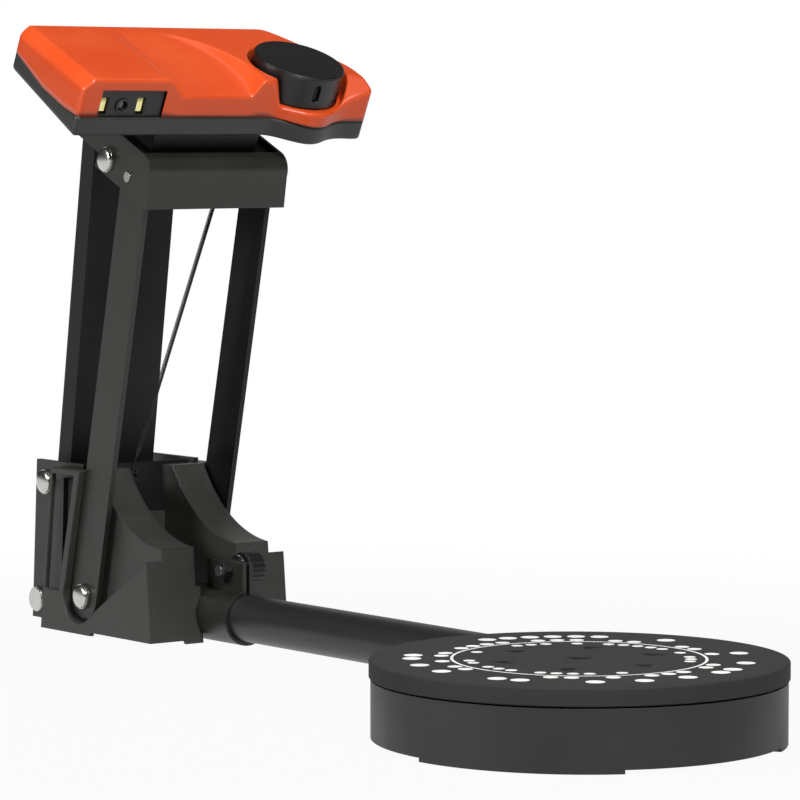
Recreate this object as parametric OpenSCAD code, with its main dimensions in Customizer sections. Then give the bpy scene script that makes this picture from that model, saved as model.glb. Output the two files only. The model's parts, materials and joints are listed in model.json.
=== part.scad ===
// Desktop 3D scanner: a scanning head on a folding arm tower, joined by a
// sliding boom tube to a motor turntable.
// Axes: X runs from the tower to the turntable, Y to the far side, Z up.
// The origin is on the turntable's axis, at the surface that it stands on.

/* [Turntable] */
// Diameter of the rotating platter
platter_d = 190; // [150:1:240]
// Height of the platter's top face above the table
table_h = 37.4; // [34:0.2:60]
// Height of the platter's rim
platter_rim_h = 8.2; // [6:0.2:9]
// Thickness of the platter's top plate
platter_t = 4; // [3:0.2:5]
// Width of the platter's rim
platter_rim_w = 5; // [3:0.5:8]
// Gap between the platter's rim and the drum
platter_gap = 0.8; // [0.5:0.1:2]
// How far the drum's side stands inside the platter's edge
drum_inset = 0.8; // [0.2:0.1:3]
// Wall of the drum
drum_wall = 2.5; // [2:0.1:4]
// Height of the three lands that the drum stands on
land_h = 1.8; // [1:0.1:3]
// Arc of each land, degrees
land_arc = 60; // [30:1:80]
// Outer diameter of the printed circle on the platter
ring_d = 115.3; // [90:0.1:130]
// Line width of the printed circle
ring_w = 2.6; // [1:0.1:5]
// Diameter of the hole at the platter's centre
centre_hole_d = 6.3; // [4:0.1:10]
// Pitch circle of the platter's fixing holes
fixing_pcd = 73; // [68:1:90]
// Diameter of a fixing hole
fixing_hole_d = 4.6; // [3:0.1:6]

/* [Turntable drive] */
// Teeth of the gear under the platter
gear_teeth = 60; // [48:1:64]
// Teeth of the motor's pinion
pinion_teeth = 15; // [12:1:24]
// Module of both gears
gear_module = 1; // [0.8:0.05:1.1]
// Thickness of both gears
gear_t = 2.4; // [1.5:0.1:2.6]
// Diameter of the drive motor
motor_d = 24; // [16:1:28]
// Diameter of the platter's spindle
spindle_d = 12; // [8:0.5:14]

/* [Boom] */
// Outer diameter of the boom tube
tube_d = 25; // [20:0.5:28]
// Wall of the boom tube
tube_wall = 1.5; // [1:0.1:3]
// Height of the tube's axis
tube_z = 14.8; // [14.6:0.1:15.6]
// From the turntable's axis to the tube's axis, sideways
tube_y = 68.5; // [55:0.5:72]
// From the turntable's axis to the arms' lower pivot
reach = 450.5; // [400:0.5:520]
// Length of tube behind the clamp's rear edge at rest
tube_tail = 5; // [3:0.5:20]
// How far the tube slides into the base
slide_travel = 80; // [40:1:82]

/* [Base] */
// Width over the base's outer skins
base_w = 90; // [88:0.5:110]
// Height of the base
base_h = 89.5; // [86:0.5:100]
// From the lower pivot back to the base's rear edge, at the table
base_back = 37.5; // [34:0.5:50]
// From the lower pivot forward to the base's front edge, at the table
base_front = 70.9; // [66:0.5:90]
// How much the rear edge leans forward, mm in each mm of height
back_lean = 0.123; // [0.08:0.001:0.14]
// How much the front face leans back, mm in each mm of height
front_lean = 0.0926; // [0.05:0.001:0.12]
// Height of the front face, where the scoop starts
front_h = 51.3; // [48:0.5:60]
// Radius of the scoop in front of the arms
scoop_r = 76.7; // [74:0.1:90]
// Wall of the base housing
base_wall = 2.5; // [2:0.1:3]
// Depth of the pocket that each arm lies in
pocket_depth = 10; // [9:0.5:12]
// Half the gap between the two front pillars
pillar_gap = 14; // [13.5:0.1:16]
// Slope of the pocket's lower edge, degrees
pocket_slope = 32; // [28:0.5:36]
// Height of the relief under the front of the base
base_relief = 1.9; // [1:0.1:3]

/* [Arms] */
// Height of the arms' lower pivot
pivot_z = 20.4; // [19:0.1:24]
// Between an arm's two pivots
arm_length = 234.6; // [200:0.2:260]
// Forward lean of the arms as deployed, degrees
arm_lean = 12.7; // [8:0.1:16]
// Width of an arm
arm_w = 24.5; // [20:0.5:26]
// Thickness of an arm
arm_t = 3; // [2:0.1:4]
// From the base's skin in to an arm's outer face
arm_inset = 3.9; // [3.5:0.1:5]
// Height of the rear link's lower pivot
link_z = 80; // [78:0.5:84]
// From the arms' lower pivot back to the rear link's lower pivot
link_back = 41.5; // [40:0.5:46]
// Between the rear link's two pivots
link_length = 201.3; // [170:0.1:230]
// Forward lean of the rear link as deployed, degrees
link_lean = 8.6; // [5:0.1:12]
// Width over the rear link's flanges
link_w = 55; // [40:0.5:58]
// Depth of the rear link's flanges
link_depth = 12.5; // [10:0.5:16]
// Sheet thickness of the rear link
link_t = 2; // [1.5:0.1:3]

/* [Fasteners] */
// Head diameter of the large rivets
rivet_head_d = 13.6; // [11:0.1:16]
// Head height of the large rivets
rivet_head_h = 2.5; // [1.5:0.1:3]
// Shank diameter of the large rivets
rivet_d = 8; // [6:0.1:9]
// Diameter of the shaft through the arms' upper ends
shaft_d = 5.5; // [4:0.1:8]
// Diameter of the clamp's bolt
bolt_d = 6; // [4:0.5:8]
// Sheet thickness of the rear bracket
cheek_t = 2.9; // [2:0.1:3.5]
// Running clearance on the radius of each pivot
pivot_play = 0.05; // [0.02:0.01:0.1]

/* [Arm spring] */
// Outer diameter of the spring
spring_d = 3.6; // [3:0.1:5]
// Diameter of the spring's wire
spring_wire = 0.9; // [0.6:0.05:1.1]

/* [Clamp] */
// Strap thickness of the tube clamp
clamp_t = 2.2; // [1.6:0.1:2.2]
// Length of the clamp along the tube
clamp_l = 48; // [40:1:60]
// How far the clamp stands out of the base's front edge
clamp_out = 25.6; // [15:0.1:40]
// Slit between the clamp's ears
clamp_slit = 2; // [1:0.1:4]
// Height of the bolt above the tube's axis
bolt_rise = 24.7; // [22:0.1:26]
// Diameter of the knob
knob_d = 18; // [14:0.5:20]
// Width of the knob
knob_w = 11; // [8:0.5:14]

/* [Head] */
// Nose-down tilt of the head as deployed, degrees
head_tilt = 25; // [15:0.5:35]
// From the tower's centre plane to the head's camera end
head_near = 95.5; // [90:0.5:110]
// From the tower's centre plane to the head's laser end
head_far = 88; // [84:0.5:100]
// From the bracket's rear rivet back to the head's rear edge
head_back = 36; // [30:0.5:50]
// From the bracket's rear rivet forward to the camera face
head_front = 34; // [33:0.5:45]
// From the rivet up to the head's top face
head_top = 62; // [58:0.5:70]
// From the rivet up to the seam between the shells
seam_rise = 44; // [43:0.5:47]
// From the rivet up to the head's underside
head_under = 33; // [31:0.5:36]
// Depth of the scoop in the top shell at its front edge
scoop_depth = 9; // [4:0.5:11]
// Chamfer along the head's camera end
end_chamfer = 5.5; // [3:0.5:7]
// Wall of the head's shells
shell_wall = 2.5; // [2:0.1:3]
// Diameter of the laser puck
puck_d = 50; // [44:0.5:54]
// Height of the laser puck
puck_h = 18; // [14:0.5:20]
// From the tower's centre plane to the puck's axis
puck_y = 51.5; // [48:0.5:56]
// From the bracket's rear rivet forward to the puck's axis
puck_v = 15; // [10:0.5:18]
// Gap round the puck
puck_gap = 3; // [2:0.1:5]
// Turn of the laser slot toward the turntable, degrees
slot_turn = 6; // [0:1:20]
// Diameter of the camera lens
lens_d = 6; // [4:0.1:9]

/* [Head bracket] */
// From the rear rivet to the arms' upper pivot
bracket_pitch = 21.4; // [20:0.1:28]
// Height of the bracket's side ears
ear_h = 26.2; // [24:0.1:32]
// Sheet thickness of the bracket
bracket_t = 2; // [1.5:0.1:2.5]
// Bend radius at the top of the front wall
bracket_r = 10; // [6:0.5:12]

/* [Hidden] */

$fn = 72;
eps = 0.01;

// colours
c_black = "#26272a";
c_frame = "#3a3b3e";
c_steel = "#c9ccd0";
c_orange = "#f0661e";
c_dark = "#55585c";
c_white = "#f2f2f2";

// turntable levels and radii
platter_r = platter_d / 2;
drum_r = platter_r - drum_inset;
drum_in = drum_r - drum_wall;
drum_top = table_h - platter_rim_h - platter_gap;
plate_z = table_h - platter_t;
deck_t = 2;
deck_r = platter_r - platter_rim_w - 1.2;
deck_top = drum_top + deck_t;
floor_t = 2;
cover_r = drum_in - 12.5;
hub_r = spindle_d / 2 + 8.2;
hub_bottom = land_h + 5;
gear_z = plate_z - gear_t;
pinion_x = gear_module * (gear_teeth + pinion_teeth) / 2;
dot_rows = [[50.1, 5.2], [62.6, 6.6], [75.8, 8.4]];
dot_angles = [
  [48, 128, -171, -113, -42, 3],
  [-139, -118, -76, -28, 28, 65, 97, 152],
  [-131, -110, -92, -68, -35, -18, -1, 21, 41, 66, 87, 108, 133, 150, 170, 190]];
dot_t = 0.08;

// boom
tube_r = tube_d / 2;
clamp_front = reach - base_front - clamp_out;
clamp_back = clamp_front + clamp_l;
tube_back = clamp_back + tube_tail;
tube_end_x = -24;
socket_l = 38;
socket_wall = 3;

// base, in its own frame: x forward of the lower pivot, y from the centre plane
half_w = base_w / 2;
pocket_y = half_w - pocket_depth;
slab_y = pocket_y - base_wall;
scoop_c = [back_x(base_h) + 98.4, front_h + scoop_r - 0.2];
pocket_r = 14.6;
land_end = 12;
foot_w = 22;
cheek_y = pocket_y + cheek_t + 0.05;
floor_plate_t = 1.8;
tongue_x = -4;
fixing_levels = [9, 18];
spring_pin_r = 1;
bar_w = 4.5;
arm_y = half_w - arm_inset;

// head frame: its origin is the bracket's rear rivet
shaft_x = arm_length * sin(arm_lean);
shaft_z = pivot_z + arm_length * cos(arm_lean);
head_x = shaft_x - bracket_pitch * cos(head_tilt);
head_z = shaft_z + bracket_pitch * sin(head_tilt);
ear_low = -8.7;
ear_top = ear_low + ear_h;
bracket_plate = ear_top - 2.5;
camera_y = -68.7;
camera_w = 46.6;
window_near = -83.4;
window_far = -43.2;
window_top = 55.5;
light_pitch = 11.5;
recess_r = puck_d / 2 + puck_gap;
bulge_r = recess_r + shell_wall;
puck_top = head_top + 4;
puck_low = puck_top - puck_h;
recess_floor = puck_low - 0.5;
far_rear_y = 60.5;
far_step = 4.5;
far_step_y = 77;
corner = 4;
lip_out = 10.5;
lip_half = 24;
scoop_near = -41.5;
bowl_v = 20;
bowl_y = -32;
bowl_r = 51.5;
scoop_back = -28;

// rear link's upper pivot in the head frame
link_top_x = -link_back + link_length * sin(link_lean);
link_top_z = link_z + link_length * cos(link_lean);
link_pin_v = (link_top_x - head_x) * cos(head_tilt) - (link_top_z - head_z) * sin(head_tilt);
link_pin_w = (link_top_x - head_x) * sin(head_tilt) + (link_top_z - head_z) * cos(head_tilt);
rear_ear_y = link_w / 2 + 3;
link_pin_r = 3;
link_pin_play = 2.4;
link_eye_r = link_pin_r + link_pin_play + 2.6;

// neck between the bracket and the head, and its screws
neck_back = -34;
neck_front = 20;
neck_half = 34;
neck_screws_v = [-30, 12];
neck_screw_y = 20;

// circuit board on four posts inside the head
board_back = -26;
board_near = -62;
board_wide = 44;
board_long = 78;
board_lift = 7;
board_t = 1.6;
chip_size = 14;
post_d = 5;
post_in = 4;

// the arm spring, from the pin on the near pillar to the arms' upper shaft
spring_low = [3.2, -11.6, base_h - 3.4];
spring_high = [shaft_x, 15.8, shaft_z];
spring_run = norm(spring_high - spring_low);
// room between the pinion and the platter
pinion_below = 0.6;
spring_turns = 72;
spring_lead = 9;
spring_tail = 12;

function back_x(z) = -base_back + back_lean * z;
function front_x(z) = base_front - front_lean * z;
function polar(r, a) = [r * cos(a), r * sin(a)];

// ---------- helpers ----------
module tower() translate([-reach, tube_y, 0]) children();
module head() tower() translate([head_x, 0, head_z]) rotate([0, head_tilt, 0]) children();
// a flat outline in x and z, given a thickness along y from y0 to y1
module plate_xz(y0, y1) translate([0, y1, 0]) rotate([90, 0, 0]) linear_extrude(y1 - y0) children();
module both_sides() for (s = [0, 1]) mirror([0, s, 0]) children();
module rod_y(x, z, r, y0, y1) translate([x, y0, z]) rotate([-90, 0, 0]) cylinder(r = r, h = y1 - y0);
module tube_x(r, x0, x1) translate([x0, tube_y, tube_z]) rotate([0, 90, 0]) cylinder(r = r, h = x1 - x0);
module pan_rivet(x, z, y, head_d, head_h, shank_r, shank_l) {
  rod_y(x, z, head_d / 2 - 0.6, y + head_h - 0.6, y + head_h);
  rod_y(x, z, head_d / 2, y, y + head_h - 0.6);
  rod_y(x, z, shank_r, y - shank_l, y + eps);
}

// ---------- turntable ----------
// the spaces between the drum's three lands
module land_gaps() for (k = [0:2]) rotate(120 * k - 58 + land_arc / 2)
  rotate_extrude(angle = 120 - land_arc) translate([drum_r - 6, -1]) square([8, land_h + 1]);

module drum_housing() color(c_black) difference() {
  rotate_extrude() polygon([
      [drum_r - 4.2, land_h], [drum_r - 4.2, 0], [drum_r, 0], [drum_r, drum_top], [deck_r, drum_top], [deck_r, deck_top],
      [hub_r, deck_top], [hub_r, deck_top - deck_t - 0.2], [deck_r - 2.2, deck_top - deck_t - 0.2],
      [deck_r - 2.2, drum_top - 2.2], [drum_in, drum_top - 2.2], [drum_in, land_h + floor_t],
      [cover_r - 3, land_h + floor_t], [cover_r - 3, land_h]]);
  land_gaps();
  tube_x(tube_r + pivot_play, -platter_r, 0);
  translate([-pinion_x, 0, drum_top - 3]) cylinder(r = pinion_teeth * gear_module / 2 + 2, h = 9);
  for (k = [0:5]) rotate(60 * k + 20) translate([cover_r - 1.5, 0, land_h - 1]) cylinder(d = 2.2, h = 9);
}

module bottom_cover() color(c_frame) difference() {
  cylinder(r = cover_r, h = land_h);
  for (k = [0:5]) rotate(60 * k + 20) translate([cover_r - 1.5, 0, -1]) cylinder(d = 2.4, h = 5);
  for (k = [0:5]) rotate(60 * k + 50) translate([cover_r - 22, 0, -1]) cylinder(d = 6, h = 5);
}

module cover_screws() color(c_steel)
  for (k = [0:5]) rotate(60 * k + 20) translate([cover_r - 1.5, 0, 0.1]) {
    cylinder(d = 2.2, h = land_h + floor_t - 0.2);
  }

module socket_block(x0, x1) translate([x0, tube_y - tube_r - socket_wall, land_h + floor_t + 0.1])
  cube([x1 - x0, 2 * tube_r + socket_wall + 0.6, drum_top - land_h - floor_t - 2.4]);

module tube_socket() color(c_dark) difference() {
  intersection() {
    socket_block(-62, tube_end_x + 4);
    cylinder(r = drum_in - 0.1, h = table_h);
  }
  tube_x(tube_r + pivot_play, -platter_r, tube_end_x);
  for (x = [-52, -36]) translate([x, tube_y - tube_r - socket_wall - 1, tube_z])
    rotate([-90, 0, 0]) cylinder(d = 3, h = 8);
}

module socket_screws() color(c_steel) for (x = [-52, -36])
  rod_y(x, tube_z, 1.45, tube_y - tube_r - socket_wall - 1.6, tube_y - tube_r - 0.3);

module bearing_housing() color(c_dark) {
  difference() {
    union() {
      translate([0, 0, hub_bottom]) cylinder(r = hub_r - 0.1, h = deck_top - hub_bottom);
      translate([0, 0, drum_top - 2.3]) cylinder(r = hub_r + 4, h = 2.05);
    }
    translate([0, 0, hub_bottom - 1]) cylinder(r = spindle_d / 2 + 2.2, h = table_h);
    for (z = bearing_levels()) translate([0, 0, z]) cylinder(r = spindle_d / 2 + 6, h = 5);
  }
}
function bearing_levels() = [hub_bottom - 1, deck_top - 4.5];

module spindle_bearings() color(c_steel) for (z = [hub_bottom, deck_top - 4.5]) translate([0, 0, z]) {
  in_r = spindle_d / 2 + pivot_play;
  out_r = spindle_d / 2 + 5.9;
  mid_r = (in_r + out_r) / 2;
  rotate_extrude() difference() {
    translate([in_r, 0]) square([1.8, 4]);
    translate([mid_r, 2]) circle(r = 1.6);
  }
  rotate_extrude() difference() {
    translate([out_r - 1.8, 0]) square([1.8, 4]);
    translate([mid_r, 2]) circle(r = 1.6);
  }
  for (k = [0:7]) rotate(45 * k) translate([mid_r, 0, 2]) sphere(r = 1.5, $fn = 24);
}

module drive_motor() color(c_steel) translate([-pinion_x, 0, 0]) difference() {
  union() {
    translate([0, 0, land_h + 4]) cylinder(d = motor_d, h = drum_top - 4.4 - land_h - 2);
    translate([0, 0, drum_top - 2.5]) cylinder(d = 8, h = 2.4);
  }
  translate([0, 0, drum_top - 10]) cylinder(r = 1.5 + pivot_play, h = 12);
}

module turntable_board() color("darkgreen") {
  translate([14, -56, land_h + 5]) cube([46, 34, 1.6]);
  translate([20, -50, land_h + 6.6]) cube([10, 10, 1.4]);
  translate([38, -46, land_h + 6.6]) cube([12, 7, 6]);
  for (x = [17, 55], y = [-53, -25]) translate([x, y, land_h + floor_t]) cylinder(d = 4, h = 3.2);
}

module fixing_holes(d, z0, z1) for (k = [0:5]) rotate(60 * k + 12)
  translate([fixing_pcd / 2, 0, z0]) cylinder(d = d, h = z1 - z0);

module dots(z0, z1, grow) for (i = [0:2]) for (a = dot_angles[i]) rotate(a)
  translate([dot_rows[i][0], 0, z0]) cylinder(d = dot_rows[i][1] + grow, h = z1 - z0, $fn = 32);

module circle_band(r0, r1, z0, z1) translate([0, 0, z0]) rotate_extrude()
  translate([r0, 0]) square([r1 - r0, z1 - z0]);

module platter() color(c_black) difference() {
  rotate_extrude() polygon([
    [0, plate_z], [platter_r - platter_rim_w, plate_z], [platter_r - platter_rim_w, table_h - platter_rim_h],
    [platter_r, table_h - platter_rim_h], [platter_r, table_h - 0.6], [platter_r - 0.6, table_h],
    [0, table_h]]);
  translate([0, 0, plate_z - 1]) cylinder(d = centre_hole_d, h = platter_t + 2);
  fixing_holes(fixing_hole_d, plate_z - 1, table_h + 1);
  circle_band(ring_d / 2 - ring_w, ring_d / 2, table_h - dot_t, table_h + 1);
  dots(table_h - dot_t, table_h + 1, 0);
}

module platter_circle() color(c_white) circle_band(ring_d / 2 - ring_w, ring_d / 2, table_h - dot_t, table_h);
module platter_dots() color(c_white) dots(table_h - dot_t, table_h, 0);

module gear_outline(n, grow) {
  r = n * gear_module / 2;
  circle(r = r - 1.2 * gear_module);
  for (k = [0:n - 1]) rotate(360 / n * k) polygon([
    [r - 1.5 * gear_module, -0.98 * gear_module], [r, -0.74 * gear_module + grow],
    [r + 0.9 * gear_module, -0.36 * gear_module + grow], [r + 0.9 * gear_module, 0.36 * gear_module - grow],
    [r, 0.74 * gear_module - grow], [r - 1.5 * gear_module, 0.98 * gear_module]]);
}

module platter_gear() color(c_white) difference() {
  translate([0, 0, gear_z]) linear_extrude(gear_t) gear_outline(gear_teeth, 0.04);
  translate([0, 0, gear_z - 1]) cylinder(r = spindle_d / 2 + 9.3, h = gear_t + 2);
}

module drive_pinion() color(c_steel) translate([-pinion_x, 0, 0]) {
  translate([0, 0, gear_z]) rotate(gear_teeth % 2 == 0 ? 180 / pinion_teeth : 0)
    linear_extrude(gear_t - pinion_below) gear_outline(pinion_teeth, 0.04);
  translate([0, 0, drum_top - 9]) cylinder(r = 1.5, h = gear_z - drum_top + 9.1);
}

module platter_spindle() color(c_steel) difference() {
  union() {
    translate([0, 0, hub_bottom - 0.5]) cylinder(d = spindle_d, h = plate_z - hub_bottom);
    translate([0, 0, deck_top + 0.6]) cylinder(r = spindle_d / 2 + 9, h = plate_z - deck_top - 0.6);
  }
  translate([0, 0, plate_z - 12]) cylinder(d = centre_hole_d + 1.5, h = 13);
}

// ---------- boom ----------
module boom_tube() color(c_black) difference() {
  tube_x(tube_r, -tube_back, tube_end_x - 0.2);
  tube_x(tube_r - tube_wall, -tube_back - 1, tube_end_x + 1);
}

module tube_end_plug() color(c_frame) {
  tube_x(tube_r - tube_wall - 0.05, -tube_back - 0.1, -tube_back + 10);
  tube_x(tube_r, -tube_back - 2, -tube_back - 0.1 + eps);
}

// ---------- base ----------
// side outline of the base, inset by e
module base_side(e, back_open = 0) difference() {
  polygon([
    [back_x(0) + e - back_open, -e * 0], [back_x(base_h) + e - back_open, base_h - e],
    [scoop_c[0], base_h - e], [scoop_c[0], front_h - e],
    [front_x(front_h) - e, front_h - e], [front_x(0) - e, 0]]);
  translate([scoop_c[0], scoop_c[1]]) circle(r = scoop_r + e, $fn = 180);
}

// the arm pocket, open at the top and front, grown by g
module pocket(g) {
  r = pocket_r + g;
  translate([0, pivot_z]) circle(r = r);
  up = base_h - pivot_z + 30;
  // left edge leans with the arm, lower edge rises to the front
  edge_r = r - 0.3;
  left = [-edge_r * cos(pocket_left), pivot_z + edge_r * sin(pocket_left)];
  low = [edge_r * sin(pocket_slope), pivot_z - edge_r * cos(pocket_slope)];
  polygon([
    left, left + [up * sin(pocket_left), up * cos(pocket_left)],
    [base_front + 60, base_h + 40], low + [120 * cos(pocket_slope), 120 * sin(pocket_slope)], low,
    [0, pivot_z]]);
}
pocket_left = arm_lean + 1.2;

module side_window() polygon([
  [back_x(22.4) + 1.9, 22.4], [back_x(88 - 1) + 1.9, base_h - 3.2],
  [bar_x(base_h - 3.2), base_h - 3.2], [bar_x(22.4), 22.4]]);
function bar_x(z) = -pocket_r / cos(pocket_left) + (z - pivot_z) * tan(pocket_left) - bar_w;

module base_housing() color(c_frame) difference() {
  union() {
    difference() {
      plate_xz(-half_w, half_w) base_side(0);
      both_sides() {
        plate_xz(pocket_y, half_w + 1) pocket(0);
        plate_xz(half_w - base_wall - 1, half_w + 1) side_window();
        // hollow behind the skin, round the pocket
        plate_xz(pocket_y, half_w - base_wall) difference() {
          base_side(base_wall, 20);
          pocket(base_wall);
        }
        // hollow inside the pillar
        plate_xz(pillar_gap + base_wall, slab_y) base_side(base_wall, 20);
      }
      // the open channel between the pillars
      plate_xz(-pillar_gap, pillar_gap) translate([-100, -1]) square([250, base_h + 50]);
      // room for the rear link behind the bulkhead
      plate_xz(-slab_y, slab_y) translate([-100, -1]) square([95, base_h + 50]);
    }
    // back wall of each pillar
    both_sides() plate_xz(pillar_gap, slab_y + eps) translate([-5, 0]) square([base_wall, base_h]);
    // bulkhead that ties the two halves
    plate_xz(-slab_y - eps, slab_y + eps) translate([-5, tube_z + tube_r + 2.7]) square([base_wall, 34]);
    // inner edge of each pillar, drawn in toward the clamp
    both_sides() plate_xz(pillar_gap - 3, pillar_gap + base_wall) polygon([
      [front_x(30) - 9, 0], [front_x(0) - eps, 0], [front_x(30) - eps, 30], [front_x(30) - 9, 30]]);
  }
  // relief under the front, outside the centre feet
  both_sides() translate([land_end, foot_w, -1]) cube([120, 60, base_relief + 1]);
  // saddle for the clamp
  translate([clamp_seat_x, 0, tube_z]) rotate([0, 90, 0]) cylinder(r = tube_r + clamp_t + 0.05, h = 60);
  // pivot holes, and the rivets' room behind them
  both_sides() rod_y(0, pivot_z, rivet_d / 2 + 0.01, slab_y - 3, half_w);
  both_sides() for (z = fixing_levels) rod_y(back_x(z) + 4, z, 2.01, slab_y - 1, half_w - 5);
  // slot in the top for the rear bracket's cheeks
  both_sides() plate_xz(cheek_y - cheek_t - 0.1, cheek_y + 0.1) polygon([
    [-60, base_h - 6.2], [tongue_x + 0.2, base_h - 6.2], [tongue_x + 0.2, base_h + 5], [-60, base_h + 5]]);
  rod_y(clamp_rivet_x, tube_z, 2.02, -40, 40);
  rod_y(spring_low[0], spring_low[2], spring_pin_r + 0.02, -pillar_gap - base_wall - 1, 0);
}
clamp_seat_x = reach - clamp_back - 0.4;
clamp_rivet_x = front_x(tube_z) - 8;

module base_floor() color(c_black) {
  translate([back_x(0) + 3, -slab_y + 0.1, 0]) cube([-5.1 - back_x(0) - 3, 2 * slab_y - 0.2, floor_plate_t]);
  translate([-5.2, -pillar_gap + 0.1, 0]) cube([clamp_seat_x + 4.7, 2 * pillar_gap - 0.2, floor_plate_t]);
}

module rear_bracket() color(c_frame) difference() {
  union() {
    both_sides() plate_xz(cheek_y - cheek_t, cheek_y) polygon([
      [web_x(3.8), 3.8], [web_x(base_h + 2.5), base_h + 2.5], [tongue_x, base_h + 2.5],
      [tongue_x - 2, base_h - 4.5], [back_x(base_h - 6) + 3, base_h - 6], [back_x(3.8) + 9, 3.8]]);
    plate_xz(-cheek_y + eps, cheek_y - eps) polygon([
      [web_x(3.8), 3.8], [web_x(62), 62], [web_x(62) + cheek_t, 62], [web_x(3.8) + cheek_t, 3.8]]);
  }
  rod_y(-link_back, link_z, rivet_d / 2 + 0.01, -half_w, half_w);
  rod_y(tie_x, tie_z, rivet_d / 2 + 0.01, -half_w, half_w);
  both_sides() for (z = fixing_levels) rod_y(back_x(z) + 4, z, 2.01, slab_y - 1, half_w);
  translate([back_x(0) - 30, 0, inlet_z]) rotate([0, 90, 0]) cylinder(d = 8.04, h = 20);
}
function web_x(z) = back_x(0) - 19.6 + 0.06 * z;

module bracket_fixings() color(c_steel) both_sides() for (z = fixing_levels) {
  rod_y(back_x(z) + 4, z, 2, slab_y - 0.6, cheek_y + eps);
  rod_y(back_x(z) + 4, z, 3.4, cheek_y + 0.02, cheek_y + 1.4);
}
tie_x = back_x(0) - 13;
tie_z = 14;
inlet_z = 30;

module power_inlet() color(c_black) translate([back_x(0) - 20.6, 0, inlet_z]) rotate([0, 90, 0]) difference() {
  union() {
    cylinder(d = 8, h = 14);
    translate([0, 0, 7.4]) cylinder(d = 12, h = 6.6);
  }
  translate([0, 0, -1]) cylinder(d = 5.5, h = 9);
}

module rear_tie_bar() color(c_steel) both_sides()
  pan_rivet(tie_x, tie_z, cheek_y, rivet_head_d, rivet_head_h, rivet_d / 2, cheek_y + eps);

module link_rivets() color(c_steel) both_sides()
  pan_rivet(-link_back, link_z, cheek_y, rivet_head_d, rivet_head_h, rivet_d / 2, cheek_y - link_w / 2 + link_t + 1);

module link_bushes() color(c_white) both_sides() difference() {
  rod_y(-link_back, link_z, rivet_d / 2 + 2.5, link_w / 2 + 0.2, cheek_y - cheek_t - 0.05);
  rod_y(-link_back, link_z, rivet_d / 2 + pivot_play, 0, half_w);
}

module arm_rivets() color(c_steel) both_sides()
  pan_rivet(0, pivot_z, arm_y + 0.3, rivet_head_d, rivet_head_h, rivet_d / 2, arm_y + 0.3 - slab_y + 2);

module arm_washers() color(c_white) both_sides() difference() {
  rod_y(0, pivot_z, rivet_d / 2 + 5, pocket_y + 0.05, arm_y - arm_t - 0.1);
  rod_y(0, pivot_z, rivet_d / 2 + pivot_play, 0, half_w);
}

module spring_post() color(c_steel) {
  rod_y(spring_low[0], spring_low[2], spring_pin_r, -pillar_gap - base_wall - 0.9, spring_low[1] + 2.2);
  rod_y(spring_low[0], spring_low[2], spring_pin_r + 0.7, spring_low[1] + 2.1, spring_low[1] + 2.9);
}

// ---------- clamp ----------
ear_top_z = bolt_rise + 4.6;
ear_t = 2.2;
module tube_clamp() color(c_frame) tower() difference() {
  union() {
    translate([reach - clamp_back, 0, tube_z]) rotate([0, 90, 0]) cylinder(r = tube_r + clamp_t, h = clamp_l);
    translate([reach - clamp_front - 33, -clamp_slit / 2 - ear_t, tube_z + tube_r])
      cube([33, 2 * ear_t + clamp_slit, ear_top_z - tube_r]);
  }
  translate([reach - clamp_back - 1, 0, tube_z]) rotate([0, 90, 0]) cylinder(r = tube_r + pivot_play, h = clamp_l + 2);
  translate([reach - clamp_back - 1, -clamp_slit / 2, tube_z]) cube([clamp_l + 2, clamp_slit, 60]);
  rod_y(bolt_x, tube_z + bolt_rise, bolt_d / 2 + 0.02, -20, 20);
  rod_y(clamp_rivet_x, tube_z, 2.02, -40, 40);
}
bolt_x = reach - clamp_front - 15;

module clamp_rivets() color(c_steel) tower() both_sides() {
  rod_y(clamp_rivet_x, tube_z, 2, tube_r + 0.2, pillar_gap + base_wall + 0.1);
  rod_y(clamp_rivet_x, tube_z, 3.6, pillar_gap + base_wall + 0.02, pillar_gap + base_wall + 1.6);
}

bolt_tip = clamp_slit / 2 + ear_t + 5.6;
module clamp_bolt() color(c_steel) tower()
  rod_y(bolt_x, tube_z + bolt_rise, bolt_d / 2, -bolt_tip, clamp_slit / 2 + ear_t + 4);

module clamp_nut() color(c_black) tower() translate([bolt_x, -clamp_slit / 2 - ear_t - 4.6, tube_z + bolt_rise])
  rotate([-90, 0, 0]) difference() {
    cylinder(d = bolt_d * 1.9, h = 4.5, $fn = 6);
    translate([0, 0, -1]) cylinder(r = bolt_d / 2 + 0.02, h = 8);
  }

module clamp_washer() color(c_steel) tower() difference() {
  rod_y(bolt_x, tube_z + bolt_rise, bolt_d / 2 + 4.5, clamp_slit / 2 + ear_t + 0.05, clamp_slit / 2 + ear_t + 1.5);
  rod_y(bolt_x, tube_z + bolt_rise, bolt_d / 2 + 0.05, 0, 20);
}

knob_y = clamp_slit / 2 + ear_t + 1.8;
module clamp_knob() color(c_black) tower() translate([bolt_x, knob_y, tube_z + bolt_rise])
  rotate([-90, 0, 0]) difference() {
    union() {
      cylinder(d = knob_d * 0.62, h = 1.5);
      translate([0, 0, 1.5]) cylinder(d = knob_d, h = knob_w - 1.5);
    }
    for (k = [0:17]) rotate(20 * k) translate([knob_d / 2 + 0.3, 0, 1.4]) cylinder(r = 0.9, h = knob_w + 1, $fn = 24);
    translate([0, 0, -1]) cylinder(r = bolt_d / 2 + pivot_play, h = 5.2);
  }

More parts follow.
